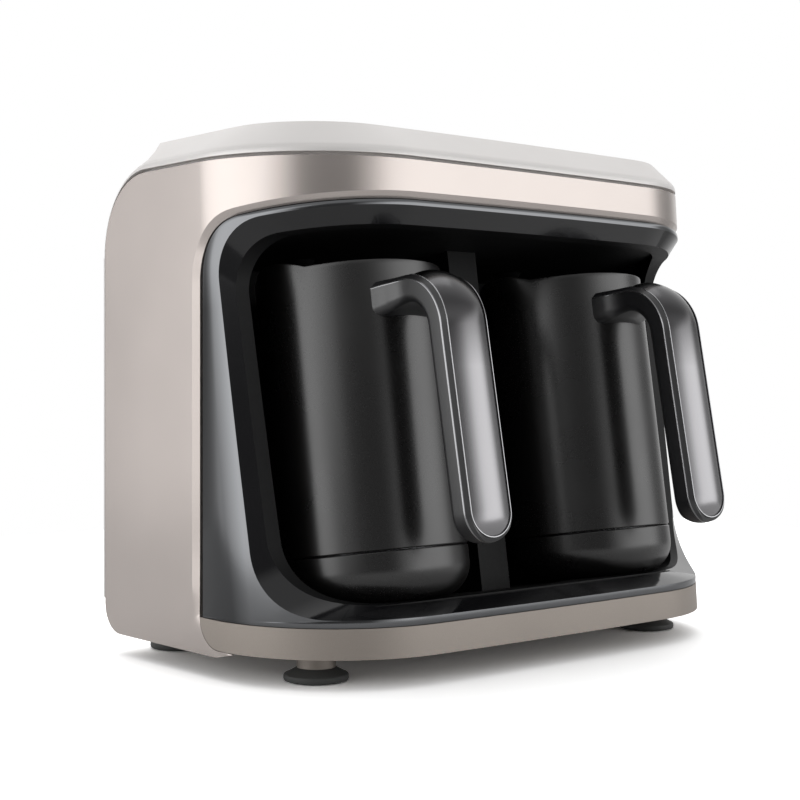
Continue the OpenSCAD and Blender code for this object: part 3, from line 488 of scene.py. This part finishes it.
def on_side(y, z, inset):
    if y * cos(LEAN) - z * sin(LEAN) >= CORNER_Y:
        return Vector((-HALF_W + inset, y, z))
    return on_front(turn_at(y, z, inset), z, inset)


BOW_STEPS, CORNER_STEPS, FILLET_STEPS, SIDE_STEPS = 16, 30, 16, 21


def front_turns(last):
    return ([BOW_TURN * i / BOW_STEPS for i in range(BOW_STEPS)]
            + [BOW_TURN + (last - BOW_TURN) * i / CORNER_STEPS for i in range(CORNER_STEPS)])


def on_rim(turn, top, inset):
    """Point of the front on a rim that is at the height top by the front and falls towards it."""
    flat = plan(turn, inset)[1]
    z = (top - RIM_SLOPE * (flat / cos(LEAN) - TOP_REF_Y)) / (1 + RIM_SLOPE * tan(LEAN))
    return on_front(turn, z, inset)


def opening(top, side, low, r_high, r_low, tilt):
    """Side view of an opening's line: top fillet, side, low fillet, as flat (y, z) points."""
    z = (top - RIM_SLOPE * (side - 100 * tilt - TOP_REF_Y)) / (1 + RIM_SLOPE * tilt)
    high = Vector((side + tilt * (z - 100), z))
    foot = Vector((side + tilt * (low - 100), low))
    front_high = Vector((-400, top + (400 + TOP_REF_Y) * RIM_SLOPE))
    upper = round_corner(front_high, high, foot, r_high, FILLET_STEPS)
    lower = round_corner(high, foot, Vector((-400, low)), r_low, FILLET_STEPS)
    return upper + spread(upper[-1], lower[0], SIDE_STEPS - 1) + lower


def opening_loop(top, side, low, r_high, r_low, tilt=RIM_SLOPE, insets=(0, 0, 0)):
    """Half the closed line of an opening on the body's surface, from top centre to low centre."""
    line = opening(top, side, low, r_high, r_low, tilt)
    in_top, in_side, in_low = insets
    n = FILLET_STEPS
    depth = [in_top + (in_side - in_top) * i / n for i in range(n + 1)]
    depth += [in_side] * (SIDE_STEPS - 1)
    depth += [in_side + (in_low - in_side) * i / n for i in range(n + 1)]
    high_turns = front_turns(turn_at(*line[0], in_top))
    low_turns = front_turns(turn_at(*line[-1], in_low))
    points = [on_rim(turn, top, in_top) for turn in high_turns]
    points += [on_side(y, z, d) for (y, z), d in zip(line, depth)]
    points += [on_front(turn, low, in_low) for turn in reversed(low_turns)]
    return points


def mirrored(half, closed):
    """A left half line carried on over the right half."""
    other = [Vector((-p.x, p.y, p.z)) for p in reversed(half[1:-1] if closed else half[1:])]
    return half + other + [half[0]] if closed else other + half


def outer_shell():
    """Side panels and band in one sheet, with the returned edge round the window."""
    last = len(opening(0, 0, 0, 1, 1, 0))
    count = BOW_STEPS + CORNER_STEPS + last + 4
    level, ramp = FILLET_STEPS - 1, 10
    fade = ([1.0] * (count - level - ramp)
            + [0.5 + 0.5 * cos(pi * (i + 1) / (ramp + 1)) for i in range(ramp)] + [0.0] * level)

    def edge_line(line, top, inset, tail):
        """A line of the window: under the band, round the top fillet, down and to the tail."""
        points = [on_rim(turn, top, inset) for turn in front_turns(turn_at(*line[0], inset))]
        down = line + spread(line[-1], tail, 3) + [tail]
        return points + [on_side(p.x, p.y, inset) for p in down]

    def window(gap, inset):
        """The window's line, closed in by gap all round."""
        top = WINDOW_TOP - min(gap, RETURN_W + 0.2)
        line = opening(top, WINDOW_SIDE - gap, WINDOW_LOW + gap, WINDOW_R_HIGH - gap,
                       WINDOW_R_LOW - gap / 2, 0)
        return edge_line(line, top, inset, Vector((-23.5, WINDOW_LOW + gap)))

    def seat_line(gap, inset):
        """The return's foot where it runs out level with the base."""
        top = WINDOW_TOP - RETURN_W
        return edge_line(opening(top, SEAT_LINE_Y - gap, WINDOW_LOW, 27, 14, 0), top, inset,
                         Vector((-23.8, 12.0)))

    crease = window(0, 0)

    def outside(z_top, inset):
        """The sheet's outer line: band top, round the panel's back and along its foot."""
        line = opening(WINDOW_TOP, WINDOW_SIDE, WINDOW_LOW, WINDOW_R_HIGH, WINDOW_R_LOW, 0)
        turns = front_turns(turn_at(*line[0], 0))
        points = [on_front(turn, z_top, inset) for turn in turns]
        curved = [p for p in line[:FILLET_STEPS + 1]
                  if p.x * cos(LEAN) - p.y * sin(LEAN) < CORNER_Y]
        points += [on_front(turn_at(p.x, p.y, 0), z_top, inset) for p in curved]
        flat = FILLET_STEPS + 1 - len(curved)
        first = Vector(((CORNER_Y + z_top * sin(LEAN)) / cos(LEAN), z_top))
        high, mid, low = (Vector((PANEL_BACK, z)) for z in (BAND_TOP, 50, 9.4))
        back_high = round_corner(first, high, mid, 34, 11)
        back_low = round_corner(mid, low, Vector((0, 9.4)), 13, 7)
        bend, end = Vector((-13, 9.3)), Vector((-24, 11.7))
        side = spread(first, back_high[0], flat) + back_high + back_low
        side += spread(back_low[-1], bend, FILLET_STEPS - 3) + [bend] + spread(bend, end, 6) + [end]
        side = [Vector((p.x, min(p.y, z_top))) for p in side]
        return points + [on_side(p.x, p.y, inset) for p in side]

    def drawn_in(high, low, shift=0):
        """A line of the return: clear of the window above, level with the base below."""
        above = window(high, low)
        below = seat_line(shift, max(0.05, low - RETURN_W))
        return [b.lerp(a, f) for a, b, f in zip(above, below, fade)]

    inner = outside(BAND_TOP, WALL)

    def ledge(z, inset):
        """A line of the ledge inside the band, which ends where the panels begin."""
        end = BOW_STEPS + CORNER_STEPS + FILLET_STEPS
        return outside(z, inset)[:end] + inner[end:]

    ledge_low = BAND_TOP - 2.4
    rows = [crease, outside(BAND_TOP, 0), ledge(BAND_TOP, WALL + 7), ledge(ledge_low, WALL + 7),
            ledge(ledge_low, WALL), drawn_in(-4, WALL + RETURN_W, -4), drawn_in(-0.4, 4.6, -3),
            drawn_in(RETURN_W + 0.65, 4.6), drawn_in(RETURN_W + 0.65, RETURN_W - 0.72), crease]
    tip = on_side(-24, 11.8, 0.2)
    bm = skin([mirrored(row[:-1] + [tip], False) for row in rows])
    make(bm, "outer_shell_sheet", "champagne_paint", "housing", ["outer_shell"], edge=0.8,
         segments=4, angle=22)


def base_tray():
    """The base with its strip ended at the panels' returned edges."""
    bm = bmesh.new()
    bm.from_mesh(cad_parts["base_tray"].data)
    bmesh.ops.transform(bm, matrix=BODY.inverted(), verts=bm.verts)
    bmesh.ops.remove_doubles(bm, verts=bm.verts, dist=0.001)
    edge_y, top = SEAT_LINE_Y - 0.45, 32
    line = opening(200, edge_y, 12.5, 20, 13.6, 0)[FILLET_STEPS + 2:]
    round_it = [(-23.6, WINDOW_LOW), (-23.6, 4), (20, 4), (20, top)]
    rim = [Vector((edge_y, top))] + line + [Vector(spot) for spot in round_it]
    rim = [p for p in rim if p.y <= top]
    for side in (LEFT, RIGHT):
        tool = bmesh.new()
        loop = [tool.verts.new((side * (HALF_W + 3), p.x, p.y)) for p in rim]
        face = tool.faces.new(loop)
        grown = bmesh.ops.extrude_face_region(tool, geom=[face])["geom"]
        moved = [v for v in grown if isinstance(v, bmesh.types.BMVert)]
        bmesh.ops.translate(tool, verts=moved, vec=(-side * 5.4, 0, 0))
        carve(bm, tool)
    bmesh.ops.dissolve_limit(bm, angle_limit=radians(0.5), verts=bm.verts, edges=bm.edges)
    # the strip's darker paint is painted shade
    make(bm, "base_tray_strip", "shaded_champagne_paint", "housing", ["base_tray"])


def front_frame():
    """Gloss surround: flank on the body's surface, bevel into the opening, and inner wall."""
    start = dict(top=200.2, side=-2.1, low=25.1, r_high=25.5, r_low=1.5, tilt=0)
    rim = dict(top=197.9, side=-25, low=28.2, r_high=23, r_low=31, tilt=RIM_SLOPE)
    steps = 7
    rows = [opening_loop(**start, insets=(9, 9, 9)), opening_loop(**start, insets=(5, 5, 5))]
    for i in range(steps + 1):
        mixed = {key: start[key] + (rim[key] - start[key]) * i / steps for key in start}
        sunk = max(0, 1 - i / steps / 0.7) ** 2
        rows.append(opening_loop(**mixed, insets=(0.3 * sunk, 0.9 * sunk, 0.2 * sunk)))
    rows.append(opening_loop(190.9, -29.8, 32.7, 21, 29, insets=(5, 3.6, 10.2)))
    rows.append(opening_loop(190.9, -30.2, 32.7, 21, 29, insets=(13, 9.4, 13)))
    rows.append(rows[0])
    # the flank rows take the finish with painted sheen and painted shade; the back row and the
    # inner wall rows take the liner's black
    tones = dict.fromkeys(range(1, steps + 2), 1) | {0: 2, steps + 3: 2, steps + 4: 2}
    bm = skin([mirrored(row, True) for row in rows], ends=False, tones=tones)
    make(bm, "front_frame_surround", "frame_black", "housing", ["front_frame"], edge=0.4,
         angle=24, more=["frame_painted_sheen", "liner_black"])


def top_cover():
    """Grey cover: lip, sloping border and flat top running over into the round back."""
    side_steps, arc_steps = 10, 18
    turns = front_turns(pi / 2) + [pi / 2]

    def run(z, inset, pivot_y, r):
        """One line of the cover from front centre over the side to the foot of the back."""
        points = [on_front(turn, z, inset) for turn in turns]
        first = points[-1]
        start = Vector((first.x, pivot_y, z))
        points += spread(first, start, side_steps)
        return points + [Vector((first.x, pivot_y + r * sin(a), z - r + r * cos(a)))
                         for a in quarter(arc_steps)]

    def plateau_front(inset, r):
        """The flat top's front corner, tighter than the lip's, which gives the soft mitre."""
        points = []
        edge_x = HALF_W - inset
        edge_y = plan(0, inset)[1]
        corner = Vector((-edge_x + r, edge_y + r + 1.2))
        for turn in turns:
            if turn <= BOW_TURN:
                share = turn / BOW_TURN
                x = -share * (edge_x - r)
                points.append(Vector((x, edge_y + 1.2 * share * share)))
            else:
                a = (turn - BOW_TURN) / (pi / 2 - BOW_TURN) * pi / 2
                points.append(Vector((corner.x - r * sin(a), corner.y - r * cos(a))))
        return [Vector((p.x, (p.y + COVER_TOP * sin(LEAN)) / cos(LEAN), COVER_TOP)) for p in points]

    top = plateau_front(13.7, 44)
    start = Vector((PLATEAU_Y, COVER_TOP))
    pivot = Vector((BACK_Y - SHOULDER_R, SHOULDER_Z))
    lean = (pivot - start).length
    fall = pi / 2 + asin((pivot - start).x / lean) - acos(SHOULDER_R / lean)
    bend = [pivot + SHOULDER_R * Vector((cos(fall * (1 - i / 8)), sin(fall * (1 - i / 8))))
            for i in range(9)]
    foot = Vector((BACK_Y, COVER_PIVOT_Z))
    back = [start] + spread(start, bend[0], 5) + bend + spread(bend[-1], foot, 3) + [foot]
    edge_x = top[-1].x
    top += spread(top[-1], Vector((edge_x, PLATEAU_Y, COVER_TOP)), side_steps)
    top += [Vector((edge_x, p.x, p.y)) for p in back]
    under = run(LIP_Z0, 0, LIP_PIVOT_Y, LIP_BACK_R)
    under = under[:len(turns) + side_steps] + [
        Vector((-HALF_W, LIP_PIVOT_Y + LIP_BACK_R * sin(a),
                LIP_Z0 - (LIP_Z0 - COVER_PIVOT_Z) * (1 - cos(a))))
        for a in quarter(arc_steps)]
    tuck = [Vector((p.x * (1 - 3.2 / HALF_W), p.y + (3.2 if i < len(front_turns(1)) else 0), p.z))
            for i, p in enumerate(under)]
    lip = run(LIP_Z1, 0, BACK_Y - COVER_R, COVER_R)
    lip_low = [a.lerp(b, 0.45) for a, b in zip(under, lip)]
    slope_1 = [a.lerp(b, 0.12) for a, b in zip(lip, top)]
    soft = [(a + b * 2 + c) / 4 for a, b, c in zip(lip_low, lip, slope_1)]
    edge_in = [a.lerp(b, 0.93) for a, b in zip(lip, top)]
    inner_top = [Vector((p.x * 0.985, p.y, p.z)) for p in top]
    half = [tuck, under, lip_low, soft, slope_1, edge_in, top, inner_top]
    other = [[Vector((-p.x, p.y, p.z)) for p in row] for row in reversed(half)]
    bm = skin(half + other, ends=False, tones=dict.fromkeys((1, 2, 12, 13), 1))
    bmesh.ops.recalc_face_normals(bm, faces=bm.faces)
    if sum(f.normal.z for f in bm.faces) < 0:
        bmesh.ops.reverse_faces(bm, faces=bm.faces)
    settle(bm, "SOLIDIFY", {"thickness": 2.2, "offset": -1, "use_even_offset": True})
    for side in (LEFT, RIGHT):
        for x, r in ((BUTTON_X, BUTTON_R + 0.2), (BUTTON_X - LIGHT_GAP, 1.65)):
            tool = bmesh.new()
            bmesh.ops.create_cone(tool, cap_ends=True, segments=64, radius1=r, radius2=r, depth=20,
                                  matrix=Matrix.Translation((side * x, BUTTON_Y, COVER_TOP)))
            carve(bm, tool)
    make(bm, "top_cover_shell", "cover_grey", "housing", ["top_cover"], edge=0.5, angle=30,
         more=["cover_lip"])


def cover_skirt():
    """Upright collar behind the gap, which the cover stands on."""
    turns = front_turns(pi / 2) + [pi / 2]

    def run(z, inset, r):
        points = [on_front(turn, z, inset) for turn in turns]
        arc = [Vector((points[-1].x, LIP_PIVOT_Y + r * sin(a), z - r + r * cos(a)))
               for a in quarter(14)]
        return points + spread(points[-1], arc[0], 3) + arc

    low, high, outer, inner = BAND_TOP + 0.05, BAND_TOP + 2.6, 3.6, 5.2
    rows = [run(low, outer, 33.6), run(high, outer, 34.6), run(high, inner, 34.6),
            run(low, inner, 33.6), run(low, outer, 33.6)]
    make(skin([mirrored(row, False) for row in rows]), "cover_skirt", "cover_grey", "housing", [])


# ---------------------------------------------------------------- pots

def pot_body(side):
    """Thin drawn vessel with a rolled rim and a raised, slightly flared pouring lip."""
    wall = 1.2
    inside = POT_R - wall
    floor_z, lip_z, lip_half_w, lip_r, lip_rise = CUP_H + 0.1, 124, 17.6, 45, 3.6
    outer = [(0, floor_z), (39, floor_z), (POT_R - 0.5, floor_z), (POT_R, floor_z + 0.5)]
    outer += [(POT_R, z) for z in (45, 75, 105, 122, 130, 135, 139, 142, RIM_Z - 0.5)]
    outer += [(POT_R - 0.15, RIM_Z - 0.12), (POT_R - wall / 2, RIM_Z)]
    inner = [(inside + 0.15, RIM_Z - 0.12)]
    inner += [(inside, z) for z in (RIM_Z - 0.5, 142, 139, 135, 130, 105, 60, 30)]
    inner += [(inside - 1.4, 25.4), (POT_R - 7, 23.6), (0, 23.5)]
    bm = turned(outer + inner, 128)
    for v in bm.verts:
        on_wall = v.co.z > lip_z and Vector(v.co.xy).length > 30
        if on_wall and v.co.x < 0 and abs(v.co.y) < lip_half_w:
            rise = sqrt(lip_r ** 2 - v.co.y ** 2) - lip_r + lip_rise
            near = (v.co.z - lip_z) / (RIM_Z - lip_z)
            v.co.z += rise * near ** 2
            v.co.x -= rise * 0.5 * near ** 3
    name = word(side)
    make(bm, "pot_body_" + name + "_vessel", "vessel_coat", name + "_pot", ["pot_body_" + name],
         pot_frame(side))


def base_cup(side):
    """Moulded base under the vessel, with a deep round foot and a cut for the socket."""
    r, t = 14.5, 2.2
    foot = [(POT_R - r + r * sin(a), r - r * cos(a)) for a in quarter(14)]
    room = [(POT_R - r + (r - t) * sin(a), r - (r - t) * cos(a)) for a in reversed(quarter(14))]
    top = CUP_H - 0.25
    bm = turned([(0, 0)] + foot + [(POT_R, top - 0.5), (POT_R - 0.5, top), (POT_R - t, top)]
                + room + [(0, t)], 96)
    carve(bm, block((-11.25, 0, 4.75), (11.25, 60, 16.25)))
    name = word(side)
    make(bm, "base_cup_" + name + "_foot", "vessel_coat", name + "_pot", ["base_cup_" + name],
         pot_frame(side), edge=0.2, segments=2, angle=40)


# handle line: over from the pot's wall, round the bend and down the grip
GRIP_RUN = (BEND.z + BEND_MID_R * cos(pi / 2 - GRIP_LEAN) - GRIP_LOW) / cos(GRIP_LEAN)
ROOT_RUN = -BEND.y - POT_R + 0.1
BEND_RUN = BEND_MID_R * (pi / 2 - GRIP_LEAN)


def grip_line(s):
    """(point, outward direction) on the handle's middle line, s from the pot's wall."""
    if s <= ROOT_RUN:
        return Vector((0, -POT_R + 0.1 - s, BEND.z + BEND_MID_R)), Vector((0, 0, 1))
    s -= ROOT_RUN
    if s <= BEND_RUN:
        a = s / BEND_MID_R
        out = Vector((0, -sin(a), cos(a)))
        return BEND + out * BEND_MID_R, out
    a = pi / 2 - GRIP_LEAN
    out = Vector((0, -sin(a), cos(a)))
    along = Vector((0, -cos(a), -sin(a)))
    return BEND + out * BEND_MID_R + along * (s - BEND_RUN), out


def bar(width, low, high, first, last, section, end_r=0.0, crown=0.0, flare=False, tones=None):
    """A section swept along the handle's line, with a round lower end.

    The section is (share of half width, share of thickness) points. A crowned bar is round at
    both ends, and its crown sinks to nothing there; a flared one grows into the pot's wall.
    """
    half_w = width / 2
    begin = first + (half_w if crown or not flare else 0)
    stations = [] if flare else [first + half_w * (1 - cos(pi / 2 * i / 14)) for i in range(14)]
    stations += [begin + (last - half_w - begin) * i / 56 for i in range(56)]
    stations += [last - half_w * (1 - sin(pi / 2 * i / 16)) for i in range(17)]
    rows = []
    for s in stations:
        left = max(last - s, 0.02)
        lead = left if flare else max(min(left, s - first), 0.02)
        gone = max(0, 1 - lead / half_w)
        half = half_w * sqrt(max(0.0001, 1 - gone ** 2))
        pull = 0 if left >= end_r or not end_r else end_r - sqrt(end_r ** 2 - (end_r - left) ** 2)
        n0, n1 = low + pull, high - pull * 0.6
        grown = max(0, 1 - (s - first) / 13) ** 2 if flare else 0
        half += 4.4 * grown
        n0 -= 3.4 * grown
        point, out = grip_line(s)
        row = []
        for u, v in section:
            n = n0 + (n1 - n0) * v
            if crown and v > 0.5:
                n += crown * (1 - gone ** 2) * (1 - u ** 2)
            row.append(point + Vector((u * half, 0, 0)) + out * n)
        if flare and s == first:
            row = [Vector((p.x, -sqrt((POT_R - 0.15) ** 2 - min(p.x ** 2, 400)), p.z)) for p in row]
        rows.append(row + [row[0]])
    if tones:
        rows = [list(line) for line in zip(*rows)]
    return skin(rows, tones=tones)


def corners(*spots):
    """A section from (x, n, radius) corners of its right half, mirrored, as shares of its size."""
    right = [Vector(s[:2]) for s in spots]
    loop = [Vector((-p.x, p.y)) for p in reversed(right)]
    line, sizes = loop + right, [s[2] for s in reversed(spots)] + [s[2] for s in spots]
    wide = max(p.x for p in line)
    low, high = min(p.y for p in line), max(p.y for p in line)
    points = []
    for i, (p, r) in enumerate(zip(line, sizes)):
        points += round_corner(line[i - 1], p, line[(i + 1) % len(line)], r, 5)
    return [(p.x / wide, (p.y - low) / (high - low)) for p in points]


def handle(side):
    """Soft black core with bevelled edges and a painted highlight on their corners, and a thin line
    round a crowned inlay on its face.
    """
    name = word(side)
    body = name + "_pot"
    place = pot_frame(side) @ Matrix.Rotation(radians(-2.4 if side < 0 else -0.8), 4, "Z")
    end = ROOT_RUN + BEND_RUN + GRIP_RUN
    low, face = -GRIP_T / 2, 4.4
    start = ROOT_RUN - 4
    shape = corners((10.8, face, 0.15), (GRIP_W / 2, face - 1.8, 1.1), (GRIP_W / 2, low, 3.4))
    # the faces round the bevel corners take the painted highlight finish
    highlight_faces = dict.fromkeys([*range(6, 11), *range(24, 29)], 1)
    core = bar(GRIP_W, low, face, 0, end, shape, end_r=6, flare=True, tones=highlight_faces)
    slot = corners((9, 1, 0.1), (9, -1, 0.1))
    carve(core, bar(21.5, face - 2.6, face + 3, start, end - 1.8, slot))
    make(core, "handle_core_" + name + "_grip", "soft_black", body, ["handle_core_" + name], place,
         edge=0.1, segments=2, angle=40, more=["edge_painted_highlight"])
    trim = bar(21.3, face - 2.5, face + 0.3, start + 0.1, end - 1.9, slot)
    carve(trim, bar(20.5, face - 4, face + 2, start + 0.5, end - 2.3, slot))
    make(trim, "handle_trim_" + name + "_line", "trim_metal", body, ["handle_trim_" + name], place)
    dome = crest(corners((9, 1, 0.12), (9, -1, 0.1)))
    inlay = bar(20.1, face - 2.5, face - 0.15, start + 0.7, end - 2.5, dome, crown=2.6)
    make(inlay, "handle_inlay_" + name + "_face", "inlay_graphite", body,
         ["handle_inlay_" + name], place)


def crest(section):
    """A section with extra points along its top, so that a crown is round."""
    tops = [i for i, spot in enumerate(section) if spot[1] > 0.999]
    at = next(i for i in tops if section[i][0] * section[(i + 1) % len(section)][0] < 0)
    a, b = section[at][0], section[(at + 1) % len(section)][0]
    extra = [(a + (b - a) * i / 18, 1.0) for i in range(1, 18)]
    return section[:at + 1] + extra + section[at + 1:]


# ---------------------------------------------------------------- small turned parts

def button(side):
    """Round cap with a dished top, a flange under the cover and a stem down to its switch."""
    name = word(side)
    top, flange, foot, round_r = COVER_TOP + 1.3, 228.4, 203.4, 1.2
    stem = [(0, foot), (2.5, foot), (2.5, flange), (BUTTON_R + 2, flange),
            (BUTTON_R + 2, flange + 1.2), (BUTTON_R, flange + 1.2)]
    rim = [(BUTTON_R - round_r * (1 - cos(a)), top - round_r + round_r * sin(a))
           for a in quarter(6)]
    bm = turned(stem + rim + [(10, top - 0.12), (6, top - 0.3), (0, top - 0.4)], 72)
    bmesh.ops.translate(bm, verts=bm.verts, vec=(side * BUTTON_X, BUTTON_Y, 0))
    make(bm, "button_" + name + "_cap", "soft_black", name + "_button", ["button_" + name],
         edge=0.15, segments=2, angle=40)


def return_spring(side):
    """A button's spring on its bracket, carried over from its CAD node as a steel coil on the
    housing.
    """
    name = word(side)
    node = "button_spring_" + name
    bm = bmesh.new()
    bm.from_mesh(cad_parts[node].data)
    bmesh.ops.remove_doubles(bm, verts=bm.verts, dist=0.000001)
    coil = make(bm, node + "_coil", "steel", "housing", [node], Matrix())
    name + "_button_press"
    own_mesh(coil)


def feet():
    """Four rubber pads on painted stubs."""
    pad_h, stub_r, stub_top = 5.4, 8.25, 12.1
    pad = [(0, 0), (12.6, 0), (13.4, 0.25), (13.75, 0.9), (13.75, 2.2), (13.4, 2.8), (12.4, 3.2),
           (8.5, 5.3), (stub_r, pad_h), (0, pad_h)]
    stub = [(0, pad_h), (8.05, pad_h), (stub_r, 5.6), (stub_r, stub_top), (0, stub_top)]
    for kind, finish, profile in (("foot_pads", "foot_rubber", pad),
                                  # the stubs take the darker paint, which is painted shade
                                  ("foot_stubs", "shaded_champagne_paint", stub)):
        whole = bmesh.new()
        for x in (-104.6, 104.6):
            for y in (-38.9, 65.9):
                one = turned(profile, 56)
                bmesh.ops.translate(one, verts=one.verts, vec=(x, y, 0))
                mesh = bpy.data.meshes.new("one")
                one.to_mesh(mesh)
                whole.from_mesh(mesh)
                bpy.data.meshes.remove(mesh)
                one.free()
        make(whole, kind + "_turned", finish, "housing", [kind])


outer_shell()
base_tray()
front_frame()
top_cover()
cover_skirt()
feet()
for side in (LEFT, RIGHT):
    pot_body(side)
    base_cup(side)
    handle(side)
    button(side)
    return_spring(side)


# ---------------------------------------------------------------- nodes kept as they are

CARRIED = {
    "cover_grey": ["back_cover"],
    "liner_black": ["niche_liner"],
    "soft_black": ["control_bracket", "sensor_housings", "coupler_housings", "pot_socket_left",
                   "pot_socket_right", "cord_gland", "buzzer"],
    "board_green": ["control_board", "power_board", "sensor_boards"],
    "part_plastic": ["relays", "terminal_block", "tact_switches", "capacitor"],
    "lens": ["sensor_lenses", "status_lights", "light_guides"],
    "steel": ["board_screws", "base_screws", "back_screws", "handle_bracket_left",
              "handle_bracket_right", "handle_screws_left", "handle_screws_right", "transformer"],
    "aluminium": ["heater_plate_left", "heater_plate_right"],
    "brass": ["coupler_blades"],
    "ceramic_white": ["thermostat_left", "thermostat_right"],
    "wire_red": ["wiring_harness"],
}
for finish, names in CARRIED.items():
    for name in names:
        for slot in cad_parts[name].material_slots:
            slot.material = FINISHES[finish]


# ---------------------------------------------------------------- stage, light and camera

def grey(level):
    return (level, level, level)


def pale_floor():
    """Floor that shows near white to the camera and reflects less, so that shadows stay."""
    bm = bmesh.new()
    bmesh.ops.create_grid(bm, x_segments=1, y_segments=1, size=0.6,
                          matrix=Matrix.Translation((0, 0, -0.0002)))
    mesh = bpy.data.meshes.new("studio_floor")
    bm.to_mesh(mesh)
    bm.free()
    floor = bpy.data.objects.new("studio_floor", mesh)
    bpy.context.collection.objects.link(floor)
    f = Finish("studio_floor")
    seen = f.node("ShaderNodeLightPath", out="Is Camera Ray")
    plain, white, more = (f.node("ShaderNodeBsdfDiffuse", {}, {"Color": grey(level)})
                          for level in (0.58, 0.95, 0.75))
    shown = f.node("ShaderNodeAddShader", {}, {0: white, 1: more})
    lit = f.node("ShaderNodeMixShader", {}, {0: seen, 1: plain, 2: shown})
    f.node("ShaderNodeOutputMaterial", {}, {"Surface": lit})
    mesh.materials.append(f.owner)


def studio():
    """White room whose reflected light follows the angle round the object and the height."""
    strength = 2.25
    world = bpy.data.worlds.new("studio")
    bpy.context.scene.world = world
    w = Finish("studio", world)
    x, y, z = w.split(w.node("ShaderNodeTexCoord", out=0))
    angle = w.maths("ARCTAN2", x * -1.0, y * -1.0)
    share = angle / (2 * pi) + 0.5 + w.clamp(z, 0.27, 0.38) * (20 / 360)

    def ring(*stops):
        """Light round the object, from (degrees, radiance) stops."""
        places = [((a + 180) / 360, radiance / strength) for a, radiance in stops]
        return w.node("ShaderNodeValToRGB", {"stops": places}, {0: share})

    front = [(-180, 0.4), (-150, 0.7), (-112, 0.7), (-90, 0.24), (-72, 0.4), (-60, 1.6),
             (-48, 1.95), (-15, 1.85), (2, 0.8), (16, 0.12), (56, 0.12)]
    flank = [(101, 2.1), (122, 2.2), (138, 2.0), (145, 1.05), (152, 0.62), (160, 0.32), (180, 0.4)]
    high = ring(*front, (68, 1.3), (82, 2.25), *flank)
    low = ring(*front, (72, 0.2), (80, 0.5), (87, 1.5), (93, 2.0), *flank)
    walls = w.between(w.clamp(z, 0.1, 0.17), low, high)
    above = w.between(w.clamp(z, 0.32, 0.5), walls, grey(0.25))
    sky = w.between(w.clamp(x * 0.35 + y * 0.5 + z * 0.79, 0.5, 0.95), above, grey(0.58))
    seen = w.node("ShaderNodeLightPath", out="Is Camera Ray")
    light = w.node("ShaderNodeBackground", {}, {"Color": sky, "Strength": strength})
    white = w.node("ShaderNodeBackground", {}, {"Color": grey(1.0), "Strength": 1.0})
    mixed = w.node("ShaderNodeMixShader", {}, {0: seen, 1: light, 2: white})
    w.node("ShaderNodeOutputWorld", {}, {"Surface": mixed})


def softbox(name, at, target, size, power):
    """Area light aimed at a point."""
    data = bpy.data.lights.new(name, "AREA")
    data.shape = "RECTANGLE"
    data.size, data.size_y = size
    data.energy = power
    lamp = bpy.data.objects.new(name, data)
    lamp.location = at
    lamp.rotation_euler = (Vector(target) - Vector(at)).to_track_quat("-Z", "Y").to_euler()
    bpy.context.collection.objects.link(lamp)


def camera():
    data = bpy.data.cameras.new("camera")
    data.sensor_width = 36
    data.lens = 69.97
    data.shift_y = -0.02755
    data.clip_end = 100
    eye = bpy.data.objects.new("camera", data)
    eye.location = (-0.49943, -0.53926, 0.12582)
    eye.rotation_euler = (radians(90), 0, radians(-40.495))
    bpy.context.collection.objects.link(eye)
    bpy.context.scene.camera = eye


pale_floor()
studio()
softbox("key_above", (0.2, 0.5, 1.4), (0, 0, 0.1), (1.2, 1.2), 4.5)
camera()

view = bpy.context.scene.view_settings
view.view_transform = "Standard"
